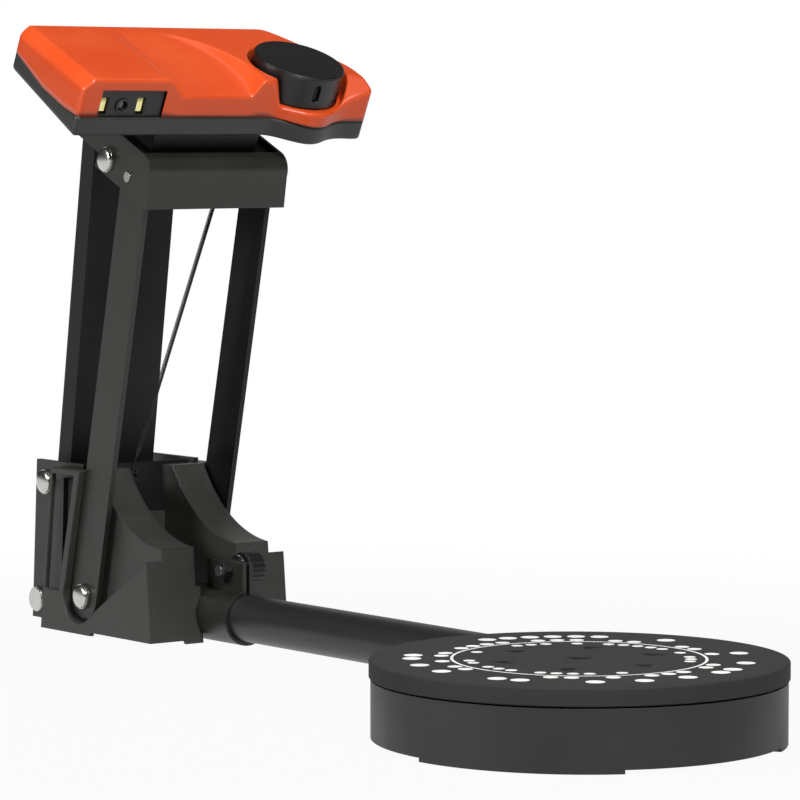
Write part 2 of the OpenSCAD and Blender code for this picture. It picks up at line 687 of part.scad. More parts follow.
// ---------- front arms ----------
module arm_plate(y0, y1) translate([0, 0, pivot_z]) rotate([0, arm_lean, 0]) difference() {
  union() {
    rod_y(0, 0, arm_w / 2, y0, y1);
    rod_y(0, arm_length, arm_w / 2, y0, y1);
    translate([-arm_w / 2, y0, 0]) cube([arm_w, y1 - y0, arm_length]);
  }
  rod_y(0, 0, rivet_d / 2 + pivot_play, y0 - 1, y1 + 1);
  rod_y(0, arm_length, shaft_d / 2 + 0.01, y0 - 1, y1 + 1);
}
module near_arm() color(c_frame) tower() arm_plate(-arm_y, -arm_y + arm_t);
module far_arm() color(c_frame) tower() arm_plate(arm_y - arm_t, arm_y);

module upper_shaft() color(c_steel) tower() {
  rod_y(shaft_x, shaft_z, shaft_d / 2, -half_w - 0.1, half_w + 0.1);
  both_sides() rod_y(shaft_x, shaft_z, shaft_d / 2, half_w, half_w + 1.2);
}

module ear_washers() color(c_white) tower() both_sides() difference() {
  rod_y(shaft_x, shaft_z, shaft_d / 2 + 3, arm_y + 0.1, half_w - bracket_t - 0.1);
  rod_y(shaft_x, shaft_z, shaft_d / 2 + 0.01, 0, half_w + 2);
}

// the wire's centre line, with the spring's own axis as z and its hooks in the x-z plane
function hook(r, a0, a1, z, s) = [for (k = [0:8])
  let (a = a0 + (a1 - a0) * k / 8) [r * sin(a), 0, z + s * r * cos(a)]];
hook_low = spring_pin_r + spring_wire / 2 + 0.35;
hook_high = shaft_d / 2 + spring_wire / 2 + 0.5;
coil_r = (spring_d - spring_wire) / 2;
coil_z = spring_lead;
coil_l = spring_run - spring_lead - spring_tail;
wire_line = concat(
  hook(hook_low, 300, 60, 0, 1),
  [[0.35 * hook_low, 0, 1.3 * hook_low], [0, 0, 2 * hook_low], [0, 0, coil_z - spring_wire]],
  [for (i = [0:8 * spring_turns]) let (r = coil_r * min(1, i / 4, (8 * spring_turns - i) / 4))
    [r * cos(45 * i), r * sin(45 * i), coil_z + coil_l * i / (8 * spring_turns)]],
  [[0, 0, coil_z + coil_l + spring_wire], [0, 0, spring_run - 2 * hook_high],
   [0.35 * hook_high, 0, spring_run - 1.3 * hook_high]],
  hook(hook_high, 60, 300, spring_run, -1));

function unit(v) = v / norm(v);
function wire_way(p, i) = unit(p[min(i + 1, len(p) - 1)] - p[max(i - 1, 0)]);
// each ring's first radius, carried along the wire without twist
function carried(p) = [for (i = 0, n = [0, 1, 0]; i < len(p); i = i + 1,
  n = i < len(p) ? let (t = wire_way(p, i)) unit(n - (n * t) * t) : n) n];

module wire(p, d, sides) {
  n = carried(p);
  rings = [for (i = [0:len(p) - 1]) let (t = wire_way(p, i), m = cross(t, n[i]))
    for (k = [0:sides - 1]) p[i] + d / 2 * (cos(360 * k / sides) * n[i] + sin(360 * k / sides) * m)];
  last = sides * (len(p) - 1);
  sides_faces = [for (i = [0:len(p) - 2], k = [0:sides - 1])
    let (a = i * sides + k, b = i * sides + (k + 1) % sides)
      each [[a, a + sides, b + sides], [a, b + sides, b]]];
  ends = [for (k = [1:sides - 2]) each [[0, k, k + 1], [last, last + k + 1, last + k]]];
  polyhedron(points = rings, faces = concat(sides_faces, ends));
}

// least gap of the wire to itself
wire_gap = min([for (i = [0:len(wire_line) - 6], j = [i + 5:min(i + 14, len(wire_line) - 1)])
  norm(wire_line[i] - wire_line[j])]) - spring_wire;
echo(spring_least_gap_mm = wire_gap);

module arm_spring() color(c_steel) tower() {
  z_way = (spring_high - spring_low) / spring_run;
  y_way = unit([0, 1, 0] - z_way[1] * z_way);
  x_way = cross(y_way, z_way);
  multmatrix([
    [x_way[0], y_way[0], z_way[0], spring_low[0]],
    [x_way[1], y_way[1], z_way[1], spring_low[1]],
    [x_way[2], y_way[2], z_way[2], spring_low[2]],
    [0, 0, 0, 1]]) wire(wire_line, spring_wire, 6);
}

// ---------- rear link ----------
module rear_link() color(c_frame) tower() translate([-link_back, 0, link_z]) rotate([0, link_lean, 0])
  difference() {
    union() {
      both_sides() {
        rod_y(0, 0, link_depth / 2, link_w / 2 - link_t, link_w / 2);
        rod_y(0, link_length, link_eye_r, link_w / 2 - link_t, link_w / 2);
        translate([-link_depth / 2, link_w / 2 - link_t, 0]) cube([link_depth, link_t, link_length]);
      }
      translate([link_depth / 2 - link_t, -link_w / 2, 9]) cube([link_t, link_w, link_length - 18]);
    }
    rod_y(0, 0, rivet_d / 2 + pivot_play, -40, 40);
    rod_y(0, link_length, link_pin_r + link_pin_play, -40, 40);
  }

// ---------- head bracket ----------
front_low_v = head_front + 9.3;
front_mid_v = head_front + 4.9;
module ear_outline() difference() {
  polygon([
    [-10.2, ear_low], [front_low_v, ear_low], [front_mid_v, ear_top - bracket_r],
    [front_mid_v, ear_top], [-10.2, ear_top]]);
  corner_cut(0);
}
module corner_cut(g) difference() {
  translate([front_mid_v - bracket_r, ear_top - bracket_r]) square([bracket_r + 5, bracket_r + 5]);
  translate([front_mid_v - bracket_r, ear_top - bracket_r]) circle(r = bracket_r - g);
}
module sheet_outline() difference() {
  union() {
    polygon([
      [front_low_v - bracket_t, ear_low], [front_low_v, ear_low], [front_mid_v, ear_top - bracket_r],
      [front_mid_v - bracket_t, ear_top - bracket_r]]);
    intersection() {
      translate([front_mid_v - bracket_r, ear_top - bracket_r]) difference() {
        circle(r = bracket_r);
        circle(r = bracket_r - bracket_t);
      }
      translate([front_mid_v - bracket_r - eps, ear_top - bracket_r - eps]) square(30);
    }
  }
}

module head_bracket() color(c_frame) head() difference() {
  union() {
    both_sides() plate_xz(half_w - bracket_t, half_w) ear_outline();
    plate_xz(-half_w + eps, half_w - eps) sheet_outline();
    // top plate, stepped in behind the ears
    translate([-10, -half_w + eps, bracket_plate - bracket_t])
      cube([front_mid_v - bracket_r + 12, base_w - 2 * eps, bracket_t]);
    translate([link_pin_v - 9, -rear_ear_y - bracket_t, bracket_plate - bracket_t])
      cube([-link_pin_v + 9, 2 * (rear_ear_y + bracket_t), bracket_t]);
    both_sides() plate_xz(rear_ear_y, rear_ear_y + bracket_t)
      translate([link_pin_v - 9, ear_low]) square([-link_pin_v + 1, bracket_plate - ear_low]);
  }
  rod_y(bracket_pitch, 0, shaft_d / 2 + pivot_play, -half_w - 1, half_w + 1);
  rod_y(0, 0, 3.5 + 0.01, -half_w - 1, half_w + 1);
  rod_y(link_pin_v, link_pin_w, link_pin_r + 0.01, -half_w, half_w);
  for (v = neck_screws_v, y = [-neck_screw_y, neck_screw_y]) translate([v, y, 0]) cylinder(d = 4.04, h = 40);
}

module bracket_rivets() color(c_steel) head() both_sides() {
  rod_y(0, 0, rivet_head_d / 2 - 0.6, half_w + rivet_head_h - 0.6, half_w + rivet_head_h);
  rod_y(0, 0, rivet_head_d / 2, half_w + 0.02, half_w + rivet_head_h - 0.6);
}
module bracket_tie_bar() color(c_steel) head() rod_y(0, 0, 3.5, -half_w, half_w);
module link_pin() color(c_steel) head() {
  rod_y(link_pin_v, link_pin_w, link_pin_r, -rear_ear_y - bracket_t - 1.2, rear_ear_y + bracket_t + 1.2);
}

// ---------- head ----------
function under_w(v) = head_under - 0.11 * v;
function seam_w(v) = seam_rise - 0.1 * v;

// front edge of the head, stepping forward at the far end and swelling around the puck
function ease(t) = t <= 0 ? 0 : t >= 1 ? 1 : t * t * (3 - 2 * t);
function front_v(y) = head_front + far_step * ease((y - far_step_y + 16) / 20)
  + (abs(y - puck_y) < lip_half ? lip_out * pow(cos(90 * (y - puck_y) / lip_half), 2) : 0);

// plan of the head, inset by e, as v forward and y across
module head_plan(e) polygon(concat(
  [[-head_back + e, -head_near + e], [head_front - e, -head_near + e]],
  [for (y = [puck_y - lip_half : lip_half / 12 : puck_y + lip_half + 0.1]) [front_v(y) - e, y]],
  [[head_front + far_step - e, far_step_y + 4], [head_front + far_step - e, head_far - corner - e / 2],
    [head_front + far_step - corner - e / 2, head_far - e], [14 + e / 3, head_far - e],
    [3 + e / 2, head_far - 4.5 - e * 0.8], [-29 + e / 2, far_rear_y + 5.5 - e * 0.8],
    [-head_back + e, far_rear_y - e / 2]]));

module head_solid(e) intersection() {
  linear_extrude(head_top + 20) head_plan(e);
  plate_xz(-head_near - 1, head_far + 1) polygon([
    [-head_back - 5, under_w(-head_back - 5) + e], [head_front + 30, under_w(head_front + 30) + e],
    [head_front + 30, head_top - e], [-head_back - 5, head_top - e]]);
}

module above_seam() plate_xz(-200, 200) polygon([
  [-200, seam_w(-200)], [200, seam_w(200)], [200, 200], [-200, 200]]);

// opening at the front of the puck's recess
module notch() polygon([
  [puck_v, puck_y], [puck_v + 12, puck_y - 25], [head_front + 1, puck_y - 24.5], [head_front + 60, puck_y - 24.5],
  [head_front + 60, far_step_y + 6], [head_front + 2, far_step_y + 1], [puck_v + 12, puck_y + 25]]);

// scoop in the top, level with it at the back and deepest at the front edge
module scoop(e) {
  slope = atan2(scoop_depth, head_front - scoop_back);
  intersection() {
    translate([scoop_back, 0, head_top - e]) rotate([0, slope, 0]) translate([-3, -200, 0]) cube([200, 400, 40]);
    // near wall, lying back by about 40 degrees
    translate([0, scoop_near - e, head_top]) rotate([-42, 0, 0]) translate([-200, 0, -60]) cube([400, 200, 160]);
    // far wall is the side of a bowl
    translate([bowl_v, bowl_y, head_top - scoop_depth - shell_wall])
      cylinder(r1 = bowl_r + e - 0.6 * (scoop_depth + shell_wall), r2 = bowl_r + e, h = scoop_depth + shell_wall,
        $fn = 128);
  }
}

module upper_shell() color(c_orange) head() difference() {
  union() {
    difference() {
      head_solid(0);
      head_solid_inner();
      near_chamfer(0);
      scoop(0);
    }
    // cup of the puck's recess
    intersection() {
      union() {
        translate([puck_v, puck_y, recess_floor - shell_wall])
          cylinder(r = bulge_r, h = head_top - recess_floor + shell_wall);
        translate([0, 0, recess_floor - shell_wall]) linear_extrude(shell_wall) notch();
      }
      head_solid(0);
    }
  }
  difference() {
    plate_xz(-200, 200) translate([-200, -200]) square(400);
    above_seam();
  }
  translate([puck_v, puck_y, recess_floor]) cylinder(r = recess_r, h = 60);
  translate([0, 0, recess_floor]) linear_extrude(60) notch();
  translate([puck_v, puck_y, 0]) cylinder(r = 10.2, h = 80);
  // window for the camera and its lights
  translate([head_front - 20, window_near, 20]) cube([60, window_far - window_near, window_top - 20]);
}
module near_chamfer(e) translate([0, -head_near, head_top - end_chamfer + e]) rotate([45, 0, 0])
  translate([-100, -20, 0]) cube([200, 60, 20]);
module head_solid_inner() difference() {
  union() {
    head_solid(shell_wall);
    translate([0, 0, head_under - 20]) linear_extrude(seam_rise - head_under + 14) head_plan(shell_wall);
  }
  near_chamfer(-shell_wall * sqrt(2));
  scoop(shell_wall);
}

module lower_shell() color(c_dark) head() difference() {
  head_solid(0);
  head_solid_open();
  above_seam_cut();
  translate([head_front - 20, window_near, under_w(head_front) + shell_wall])
    cube([60, window_far - window_near, 40]);
  for (v = neck_screws_v, y = [-neck_screw_y, neck_screw_y]) translate([v, y, 0]) cylinder(d = 3.4, h = 60);
}
module head_solid_open() {
  head_solid(shell_wall);
  translate([0, 0, seam_rise - 8]) linear_extrude(60) head_plan(shell_wall);
}
module above_seam_cut() translate([0, 0, -0.05]) above_seam();

module head_neck() color(c_black) head() difference() {
  intersection() {
    translate([neck_back, -neck_half, bracket_plate]) cube([neck_front - neck_back, 2 * neck_half, head_under]);
    plate_xz(-neck_half - 1, neck_half + 1) polygon([
      [-head_back, 0], [head_front, 0], [head_front, under_w(head_front) - 0.02],
      [-head_back, under_w(-head_back) - 0.02]]);
  }
  for (v = neck_screws_v, y = [-neck_screw_y, neck_screw_y]) translate([v, y, 0]) cylinder(d = 4.04, h = 60);
}

module neck_screws() color(c_steel) head() for (v = neck_screws_v, y = [-neck_screw_y, neck_screw_y]) translate([v, y, 0]) {
  translate([0, 0, bracket_plate - bracket_t - 2.5]) cylinder(d = 7, h = 2.48);
  translate([0, 0, bracket_plate - bracket_t - 0.03]) cylinder(d = 3.3, h = under_w(v) + 3 - bracket_plate + 2);
}

module camera_panel() color(c_dark) head() difference() {
  translate([head_front - 4.2, window_near + 0.1, under_w(head_front) + shell_wall + 0.1])
    cube([2.8, window_far - window_near - 0.2, window_top - under_w(head_front) - shell_wall - 0.2]);
  translate([head_front - 10, camera_y, camera_w]) rotate([0, 90, 0]) cylinder(d = lens_d + 2.02, h = 20);
  for (s = [-1, 1]) translate([head_front - 10, camera_y + s * light_pitch - 2.6, camera_w - 5])
    cube([20, 5.2, 9.6]);
}
module camera_barrel() color(c_black) head() translate([head_front - 14, camera_y, camera_w]) rotate([0, 90, 0])
  difference() {
    union() {
      cylinder(d = 12, h = 9.6);
      cylinder(d = lens_d + 2, h = 13.4);
    }
    translate([0, 0, 9]) cylinder(d = lens_d, h = 10);
  }

module camera_lens() color("midnightblue") head() translate([head_front - 4.9, camera_y, camera_w]) rotate([0, 90, 0])
  intersection() {
    cylinder(d = lens_d - 0.04, h = 4);
    translate([0, 0, -3.6]) sphere(r = 6.4);
  }

module camera_board() color("darkgreen") head()
  translate([head_front - 15.7, camera_y - 13, camera_w - 10]) cube([1.6, 27, 17]);

module work_lights() color(c_white) head() for (s = [-1, 1])
  translate([head_front - 7, camera_y + s * light_pitch - 1.8, camera_w - 3.6]) cube([4.2, 3.6, 7.2]);

module head_board() color("darkgreen") head() {
  under = under_w(board_back) + board_lift;
  translate([board_back, board_near, under]) cube([board_wide, board_long, board_t]);
  translate([board_back + 10, board_near + 22, under + board_t]) cube([chip_size, chip_size, board_t]);
  for (v = [board_back + post_in, board_back + board_wide - post_in],
      y = [board_near + post_in, board_near + board_long - post_in])
    translate([v, y, under_w(v - post_d / 2) + shell_wall + 0.05])
      cylinder(d = post_d, h = under - under_w(v - post_d / 2) - shell_wall - 0.05);
}

module laser_seat() color(c_black) head() translate([puck_v, puck_y, 0]) difference() {
  translate([0, 0, under_w(puck_v) + shell_wall + 1.7])
    cylinder(r = 14, h = recess_floor - under_w(puck_v) - 2 * shell_wall - 1.75);
  translate([0, 0, 20]) cylinder(r = 10.0, h = 60);
}

module laser_module() color("goldenrod") head() translate([puck_v, puck_y, puck_low + puck_h / 2]) rotate([0, 0, -slot_turn])
  rotate([0, 90, 0]) translate([0, 0, -12]) cylinder(d = 9, h = 30);

module puck_body() color(c_black) head() difference() {
  union() {
    translate([puck_v, puck_y, puck_low]) cylinder(d = puck_d, h = puck_h - 1);
    translate([puck_v, puck_y, recess_floor - 8]) cylinder(r = 9.95, h = 9);
  }
  translate([puck_v, puck_y, puck_low + puck_h / 2]) rotate([0, 0, -slot_turn]) {
    rotate([0, 90, 0]) translate([0, 0, -12.1]) cylinder(d = 9.04, h = 30.2);
    for (z = [-2.6, 2.6]) translate([10, 0, z]) rotate([0, 90, 0]) cylinder(d = 4.4, h = 20);
    translate([10, -2.2, -2.6]) cube([20, 4.4, 5.2]);
  }
}

module puck_cap() color(c_black) head() translate([puck_v, puck_y, puck_top - 0.98])
  rotate_extrude() polygon([[0, 0], [puck_d / 2, 0], [puck_d / 2, 0.5], [puck_d / 2 - 0.5, 0.98], [0, 0.98]]);

module laser_window() color("darkred") head() translate([puck_v, puck_y, puck_low + puck_h / 2]) rotate([0, 0, -slot_turn])
  intersection() {
    union() {
      for (z = [-2.6, 2.6]) translate([20, 0, z]) rotate([0, 90, 0]) cylinder(d = 4.36, h = 6);
      translate([20, -2.18, -2.6]) cube([6, 4.36, 5.2]);
    }
    cylinder(d = puck_d - 3, h = 40, center = true);
  }

drum_housing();
bottom_cover();
cover_screws();
tube_socket();
socket_screws();
bearing_housing();
spindle_bearings();
drive_motor();
turntable_board();
platter();
platter_circle();
platter_dots();
platter_gear();
platter_spindle();
drive_pinion();
boom_tube();
tube_end_plug();
tower() base_housing();
tower() base_floor();
tower() rear_bracket();
tower() power_inlet();
tower() rear_tie_bar();
tower() link_rivets();
tower() link_bushes();
tower() bracket_fixings();
tower() arm_rivets();
tower() arm_washers();
tower() spring_post();
tube_clamp();
clamp_rivets();
clamp_bolt();
clamp_nut();
clamp_washer();
clamp_knob();
near_arm();
far_arm();
upper_shaft();
ear_washers();
arm_spring();
rear_link();
head_bracket();
bracket_rivets();
bracket_tie_bar();
link_pin();
head_neck();
neck_screws();
lower_shell();
upper_shell();
camera_panel();
camera_barrel();
camera_lens();
camera_board();
work_lights();
head_board();
laser_seat();
laser_module();
puck_body();
puck_cap();
laser_window();
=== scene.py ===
import json
import math

import bmesh
import bpy
import numpy as np
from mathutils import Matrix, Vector
from mathutils.geometry import delaunay_2d_cdt

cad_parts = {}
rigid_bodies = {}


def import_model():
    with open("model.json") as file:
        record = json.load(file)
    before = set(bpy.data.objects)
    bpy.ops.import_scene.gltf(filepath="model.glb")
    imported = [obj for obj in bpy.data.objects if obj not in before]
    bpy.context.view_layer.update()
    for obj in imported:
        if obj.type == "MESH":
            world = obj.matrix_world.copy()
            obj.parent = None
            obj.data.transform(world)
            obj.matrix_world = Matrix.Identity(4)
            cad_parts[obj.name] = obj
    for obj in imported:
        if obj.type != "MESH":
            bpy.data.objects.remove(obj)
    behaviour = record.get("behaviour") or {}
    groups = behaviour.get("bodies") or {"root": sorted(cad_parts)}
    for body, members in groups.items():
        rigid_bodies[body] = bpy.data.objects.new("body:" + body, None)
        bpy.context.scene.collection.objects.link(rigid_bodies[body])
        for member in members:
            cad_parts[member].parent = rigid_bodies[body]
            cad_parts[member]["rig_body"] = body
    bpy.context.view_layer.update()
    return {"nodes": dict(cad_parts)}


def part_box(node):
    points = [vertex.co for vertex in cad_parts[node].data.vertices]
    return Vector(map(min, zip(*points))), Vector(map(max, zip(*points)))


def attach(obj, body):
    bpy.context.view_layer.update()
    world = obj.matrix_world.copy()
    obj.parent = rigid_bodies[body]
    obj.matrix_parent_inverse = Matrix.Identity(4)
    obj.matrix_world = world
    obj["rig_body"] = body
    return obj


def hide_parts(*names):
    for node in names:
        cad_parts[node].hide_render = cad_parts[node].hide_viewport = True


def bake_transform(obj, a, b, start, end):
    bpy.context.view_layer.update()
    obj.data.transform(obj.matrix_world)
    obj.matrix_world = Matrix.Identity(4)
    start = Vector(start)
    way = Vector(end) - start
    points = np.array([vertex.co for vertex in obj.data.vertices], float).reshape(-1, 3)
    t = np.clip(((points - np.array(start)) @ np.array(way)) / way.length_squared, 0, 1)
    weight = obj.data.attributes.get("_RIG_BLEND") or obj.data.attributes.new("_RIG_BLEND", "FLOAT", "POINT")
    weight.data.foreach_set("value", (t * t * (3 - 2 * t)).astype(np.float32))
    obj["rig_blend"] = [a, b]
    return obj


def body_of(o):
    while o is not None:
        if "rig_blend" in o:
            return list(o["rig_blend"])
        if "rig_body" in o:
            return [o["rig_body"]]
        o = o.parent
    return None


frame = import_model()
nodes = frame["nodes"]
print("frame loaded:", len(nodes), "nodes")

mm = 0.001


# sRGB hex to linear: c/12.92 below 0.04045, else ((c+0.055)/1.055)^2.4
def hexColour(text):
    c = np.array([int(text[i:i + 2], 16) for i in (0, 2, 4)]) / 255
    return (*np.where(c <= 0.04045, c / 12.92, ((c + 0.055) / 1.055) ** 2.4).tolist(), 1.0)


# adds one node; settings are its sockets' values or its properties, links are socket: source
def addNode(tree, kind, settings=None, links=None):
    node = tree.nodes.new(kind)
    for name, value in (settings or {}).items():
        if isinstance(name, int) or name in node.inputs:
            node.inputs[name].default_value = value
        else:
            setattr(node, name, value)
    for name, source in (links or {}).items():
        tree.links.new(source, node.inputs[name])
    return node


# a new material with Object coordinates and an edge softened to a mould or press radius
def newFinish(name, edge):
    material = bpy.data.materials.new(name)
    material.use_nodes = True
    tree = material.node_tree
    tree.nodes.clear()
    place = addNode(tree, "ShaderNodeTexCoord").outputs["Object"]
    soft = addNode(tree, "ShaderNodeBevel", {"samples": 4, "Radius": edge * mm}).outputs[0]
    return material, tree, place, soft


# colour drifts between two tones, roughness between two values, and the bump has a grain of grainMm
def grainFinish(name, dark, light, grainMm, depthMm, roughLow, roughHigh, shader, edge=0.4, streak=None):
    material, tree, place, soft = newFinish(name, edge)
    if streak:  # brushing or rolling lines: the grain drawn out along one axis
        place = addNode(tree, "ShaderNodeMapping", {"Scale": streak}, {"Vector": place}).outputs[0]
    grain = addNode(tree, "ShaderNodeTexNoise",
                    {"Scale": 1 / (grainMm * mm) / 2, "Detail": 3.0, "Roughness": 0.55}, {"Vector": place})
    drift = addNode(tree, "ShaderNodeTexNoise", {"Scale": 28.0, "Detail": 4.0}, {"Vector": place})
    both = addNode(tree, "ShaderNodeMath", {"operation": "MULTIPLY_ADD", 1: 0.45},
                   {0: grain.outputs["Fac"], 2: drift.outputs["Fac"]})
    tones = addNode(tree, "ShaderNodeMapRange", {"From Min": 0.5, "From Max": 0.95},
                    {"Value": both.outputs[0]})
    colour = addNode(tree, "ShaderNodeMix",
                     {"data_type": "RGBA", 6: hexColour(dark), 7: hexColour(light)}, {0: tones.outputs[0]})
    rough = addNode(tree, "ShaderNodeMapRange",
                    {"From Min": 0.3, "From Max": 0.7, "To Min": roughLow, "To Max": roughHigh},
                    {"Value": drift.outputs["Fac"]})
    bump = addNode(tree, "ShaderNodeBump", {"Strength": 1.0, "Distance": depthMm * mm},
                   {"Height": grain.outputs["Fac"], "Normal": soft})
    surface = addNode(tree, "ShaderNodeBsdfPrincipled", shader,
                      {"Base Color": colour.outputs[2], "Roughness": rough.outputs[0],
                       "Normal": bump.outputs[0]})
    addNode(tree, "ShaderNodeOutputMaterial", None, {"Surface": surface.outputs[0]})
    return material


# each recipe: dark and light tone, grain and depth in mm, least and most roughness, shader values, edge
# radius in mm, streak; a mould's grit is 0.1 to 0.3 mm, and is drawn at 0.8 mm so that it shows at this size
finishRecipes = {
    # black ABS from a spark-eroded mould: even, matt, slightly grey where the light grazes
    "texturedBlackAbs": ("141413", "1d1d1b", 0.8, 0.045, 0.44, 0.56,
                         {"IOR": 1.53, "Specular IOR Level": 0.5}),
    # the head's lower shell: charcoal ABS, a little lighter than the stand
    "charcoalAbs": ("1f201e", "282926", 0.8, 0.04, 0.42, 0.52, {"IOR": 1.53}, 0.08),
    # orange ABS from a polished mould: deep colour under a clear gloss, soft long highlights
    "polishedOrangeAbs": ("d94b1b", "df5423", 2.5, 0.004, 0.3, 0.36,
                          {"IOR": 1.46, "Coat Weight": 0.15, "Coat Roughness": 0.12}, 0.08),
    # satin black paint on bent sheet steel: faint orange peel, satin sheen
    "satinBlackPaint": ("171714", "1f1f1a", 1.2, 0.02, 0.4, 0.5,
                        {"IOR": 1.5, "Coat Weight": 0.12, "Coat Roughness": 0.3}, 0.5),
    # the base, one thick moulding or casting: the same satin black with generous rounded edges, drawn lighter
    # than on the arms as painted light for the brighter light the base gets
    "paintedLightBlackCasting": ("2a2a28", "343431", 1.2, 0.03, 0.42, 0.52, {"IOR": 1.5}, 1.5),
    # the puck: fine black ABS with a turned, softly rounded edge
    "satinBlackPuck": ("080808", "0e0e0d", 0.8, 0.02, 0.36, 0.46, {"IOR": 1.5}, 1.1),
    # the rotating platter: fine matt ABS that greys at a grazing angle
    "mattPlatterAbs": ("242423", "2c2c2b", 0.7, 0.03, 0.74, 0.82, {"IOR": 1.4}, 0.08),
    # screen-printed ink: white, slightly uneven, nearly matt
    "whiteScreenInk": ("e4e4e2", "f2f2f0", 0.6, 0.01, 0.45, 0.6, {"IOR": 1.48}, 0.05),
    # turned and rolled steel, nickel plated: bright with fine lathe lines
    "nickelPlatedSteel": ("b9b9b6", "d6d6d3", 0.5, 0.008, 0.2, 0.32, {"Metallic": 1.0}, 0.3, (1, 0.15, 1)),
    # black-oxide steel: dark grey metal with a thin oily sheen
    "blackOxideSteel": ("0f0f10", "1a1a1b", 0.6, 0.01, 0.42, 0.55, {"Metallic": 0.2, "IOR": 1.5}, 0.3),
    # drawn tube, black anodised: satin with faint lines along its length
    "anodisedTube": ("232324", "2e2e2e", 0.7, 0.01, 0.36, 0.44,
                     {"Metallic": 0.35, "IOR": 1.6}, 0.3, (0.08, 1, 1)),
    # natural nylon of the gear: milky, waxy
    "naturalNylon": ("d8d4c6", "e6e2d6", 1.0, 0.01, 0.4, 0.5,
                     {"IOR": 1.53, "Subsurface Weight": 0.1, "Subsurface Radius": (0.002, 0.002, 0.0015)}),
    # black acetal bushes and washers: smooth, waxy, nearly black
    "blackAcetal": ("0d0d0d", "141414", 1.0, 0.01, 0.35, 0.45, {"IOR": 1.48}),
    # the link and the far arm: the same paint drawn darker and rougher, painted shade for the tower's own
    # shade on them
    "paintedShadeBlackPaint": ("080807", "0e0e0c", 1.2, 0.02, 0.5, 0.6, {"IOR": 1.4}, 0.5),
    # die-cast aluminium, as cast inside the housings: grey, dull metal
    "dieCastAluminium": ("8d8d8b", "a3a3a0", 1.2, 0.04, 0.45, 0.6, {"Metallic": 0.9}),
    # printed circuit board under solder mask: glossy dark green
    "solderMask": ("11301f", "1a4630", 1.5, 0.01, 0.25, 0.35, {"IOR": 1.55}),
    # turned brass barrel of the laser: yellow metal with a soft shine
    "turnedBrass": ("b9994f", "d0b063", 0.4, 0.006, 0.2, 0.3, {"Metallic": 1.0}),
    # hard-coated glass of the camera lens: almost black, sharp highlight
    "coatedLensGlass": ("07080c", "10121c", 3.0, 0.0, 0.03, 0.06,
                        {"IOR": 1.6, "Coat Weight": 1.0, "Coat Roughness": 0.03}, 0.1),
    # dyed acrylic window in front of the laser: very dark red
    "darkRedAcrylic": ("060101", "0c0202", 3.0, 0.0, 0.2, 0.3, {"IOR": 1.3}, 0.1),
    # phosphor behind a clear lens: pale yellow, faintly lit
    "phosphorYellow": ("e8dc86", "f6eeb4", 0.5, 0.01, 0.3, 0.4,
                       {"IOR": 1.5, "Emission Color": hexColour("e9dd8c"), "Emission Strength": 0.25}, 0.1),
}
finishes = {name: grainFinish(name, *recipe) for name, recipe in finishRecipes.items()}
nodeFinish = {
    "texturedBlackAbs": ["power_inlet", "drum_housing", "bottom_cover", "tube_end_plug", "head_neck",
                         "camera_barrel", "laser_seat"],
    # the camera panel takes this darkest black as painted shade for the inside of its window
    "satinBlackPuck": ["puck_body", "puck_cap", "camera_panel", "clamp_knob"],
    # the base gets the satin black lightened as painted light
    "paintedLightBlackCasting": ["base_housing"],
    # the link and the far arm get the black paint darkened as painted shade
    "paintedShadeBlackPaint": ["far_arm", "rear_link"],
    "charcoalAbs": ["lower_shell"],
    "polishedOrangeAbs": ["upper_shell"],
    "satinBlackPaint": ["base_floor", "rear_bracket", "tube_clamp", "near_arm", "head_bracket"],
    "mattPlatterAbs": ["platter"],
    "whiteScreenInk": ["platter_circle", "platter_dots"],
    "nickelPlatedSteel": ["rear_tie_bar", "link_rivets", "bracket_fixings", "arm_rivets", "clamp_rivets",
                          "clamp_bolt", "clamp_washer", "cover_screws", "socket_screws", "spindle_bearings",
                          "drive_motor", "platter_spindle", "drive_pinion", "upper_shaft", "bracket_rivets",
                          "bracket_tie_bar", "link_pin", "neck_screws"],
    "blackOxideSteel": ["clamp_nut", "arm_spring", "spring_post"],
    "anodisedTube": ["boom_tube"],
    "naturalNylon": ["platter_gear"],
    "blackAcetal": ["link_bushes", "arm_washers", "ear_washers"],
    "dieCastAluminium": ["tube_socket", "bearing_housing"],
    "solderMask": ["turntable_board", "camera_board", "head_board"],
    "turnedBrass": ["laser_module"],
    "coatedLensGlass": ["camera_lens"],
    "darkRedAcrylic": ["laser_window"],
    "phosphorYellow": ["work_lights"],
}
for finish, names in nodeFinish.items():
    for name in names:
        mesh = nodes[name].data
        mesh.materials.clear()
        mesh.materials.append(finishes[finish])
bare = set(nodes) - {n for names in nodeFinish.values() for n in names}
print("finishes set, nodes left over:", sorted(bare))


# a mesh object in metres from points in mm and faces, with close points welded and smooth up to creaseDeg
def makePiece(name, points, faces, finish, creaseDeg=35, weldMm=0.001):
    mesh = bpy.data.meshes.new(name)
    mesh.from_pydata((np.asarray(points) * mm).tolist(), [], faces)
    mesh.materials.append(finishes[finish])
    mesh.validate()
    welded = bmesh.new()
    welded.from_mesh(mesh)
    bmesh.ops.remove_doubles(welded, verts=welded.verts, dist=weldMm * mm)
    bmesh.ops.dissolve_degenerate(welded, edges=welded.edges, dist=weldMm * mm)
    welded.to_mesh(mesh)
    welded.free()
    piece = bpy.data.objects.new(name, mesh)
    bpy.context.scene.collection.objects.link(piece)
    mesh.polygons.foreach_set("use_smooth", np.ones(len(mesh.polygons), bool))
    mesh.set_sharp_from_angle(angle=math.radians(creaseDeg))
    return piece


# quads between the rows of a grid numbered row by row, closed round if wrap is set
def gridFaces(rows, columns, wrap, first=0):
    r, c = np.meshgrid(np.arange(rows - 1), np.arange(columns if wrap else columns - 1), indexing="ij")
    d = (c + 1) % columns
    quads = np.stack([r * columns + c, r * columns + d, (r + 1) * columns + d, (r + 1) * columns + c], -1)
    return (quads.reshape(-1, 4) + first).tolist()


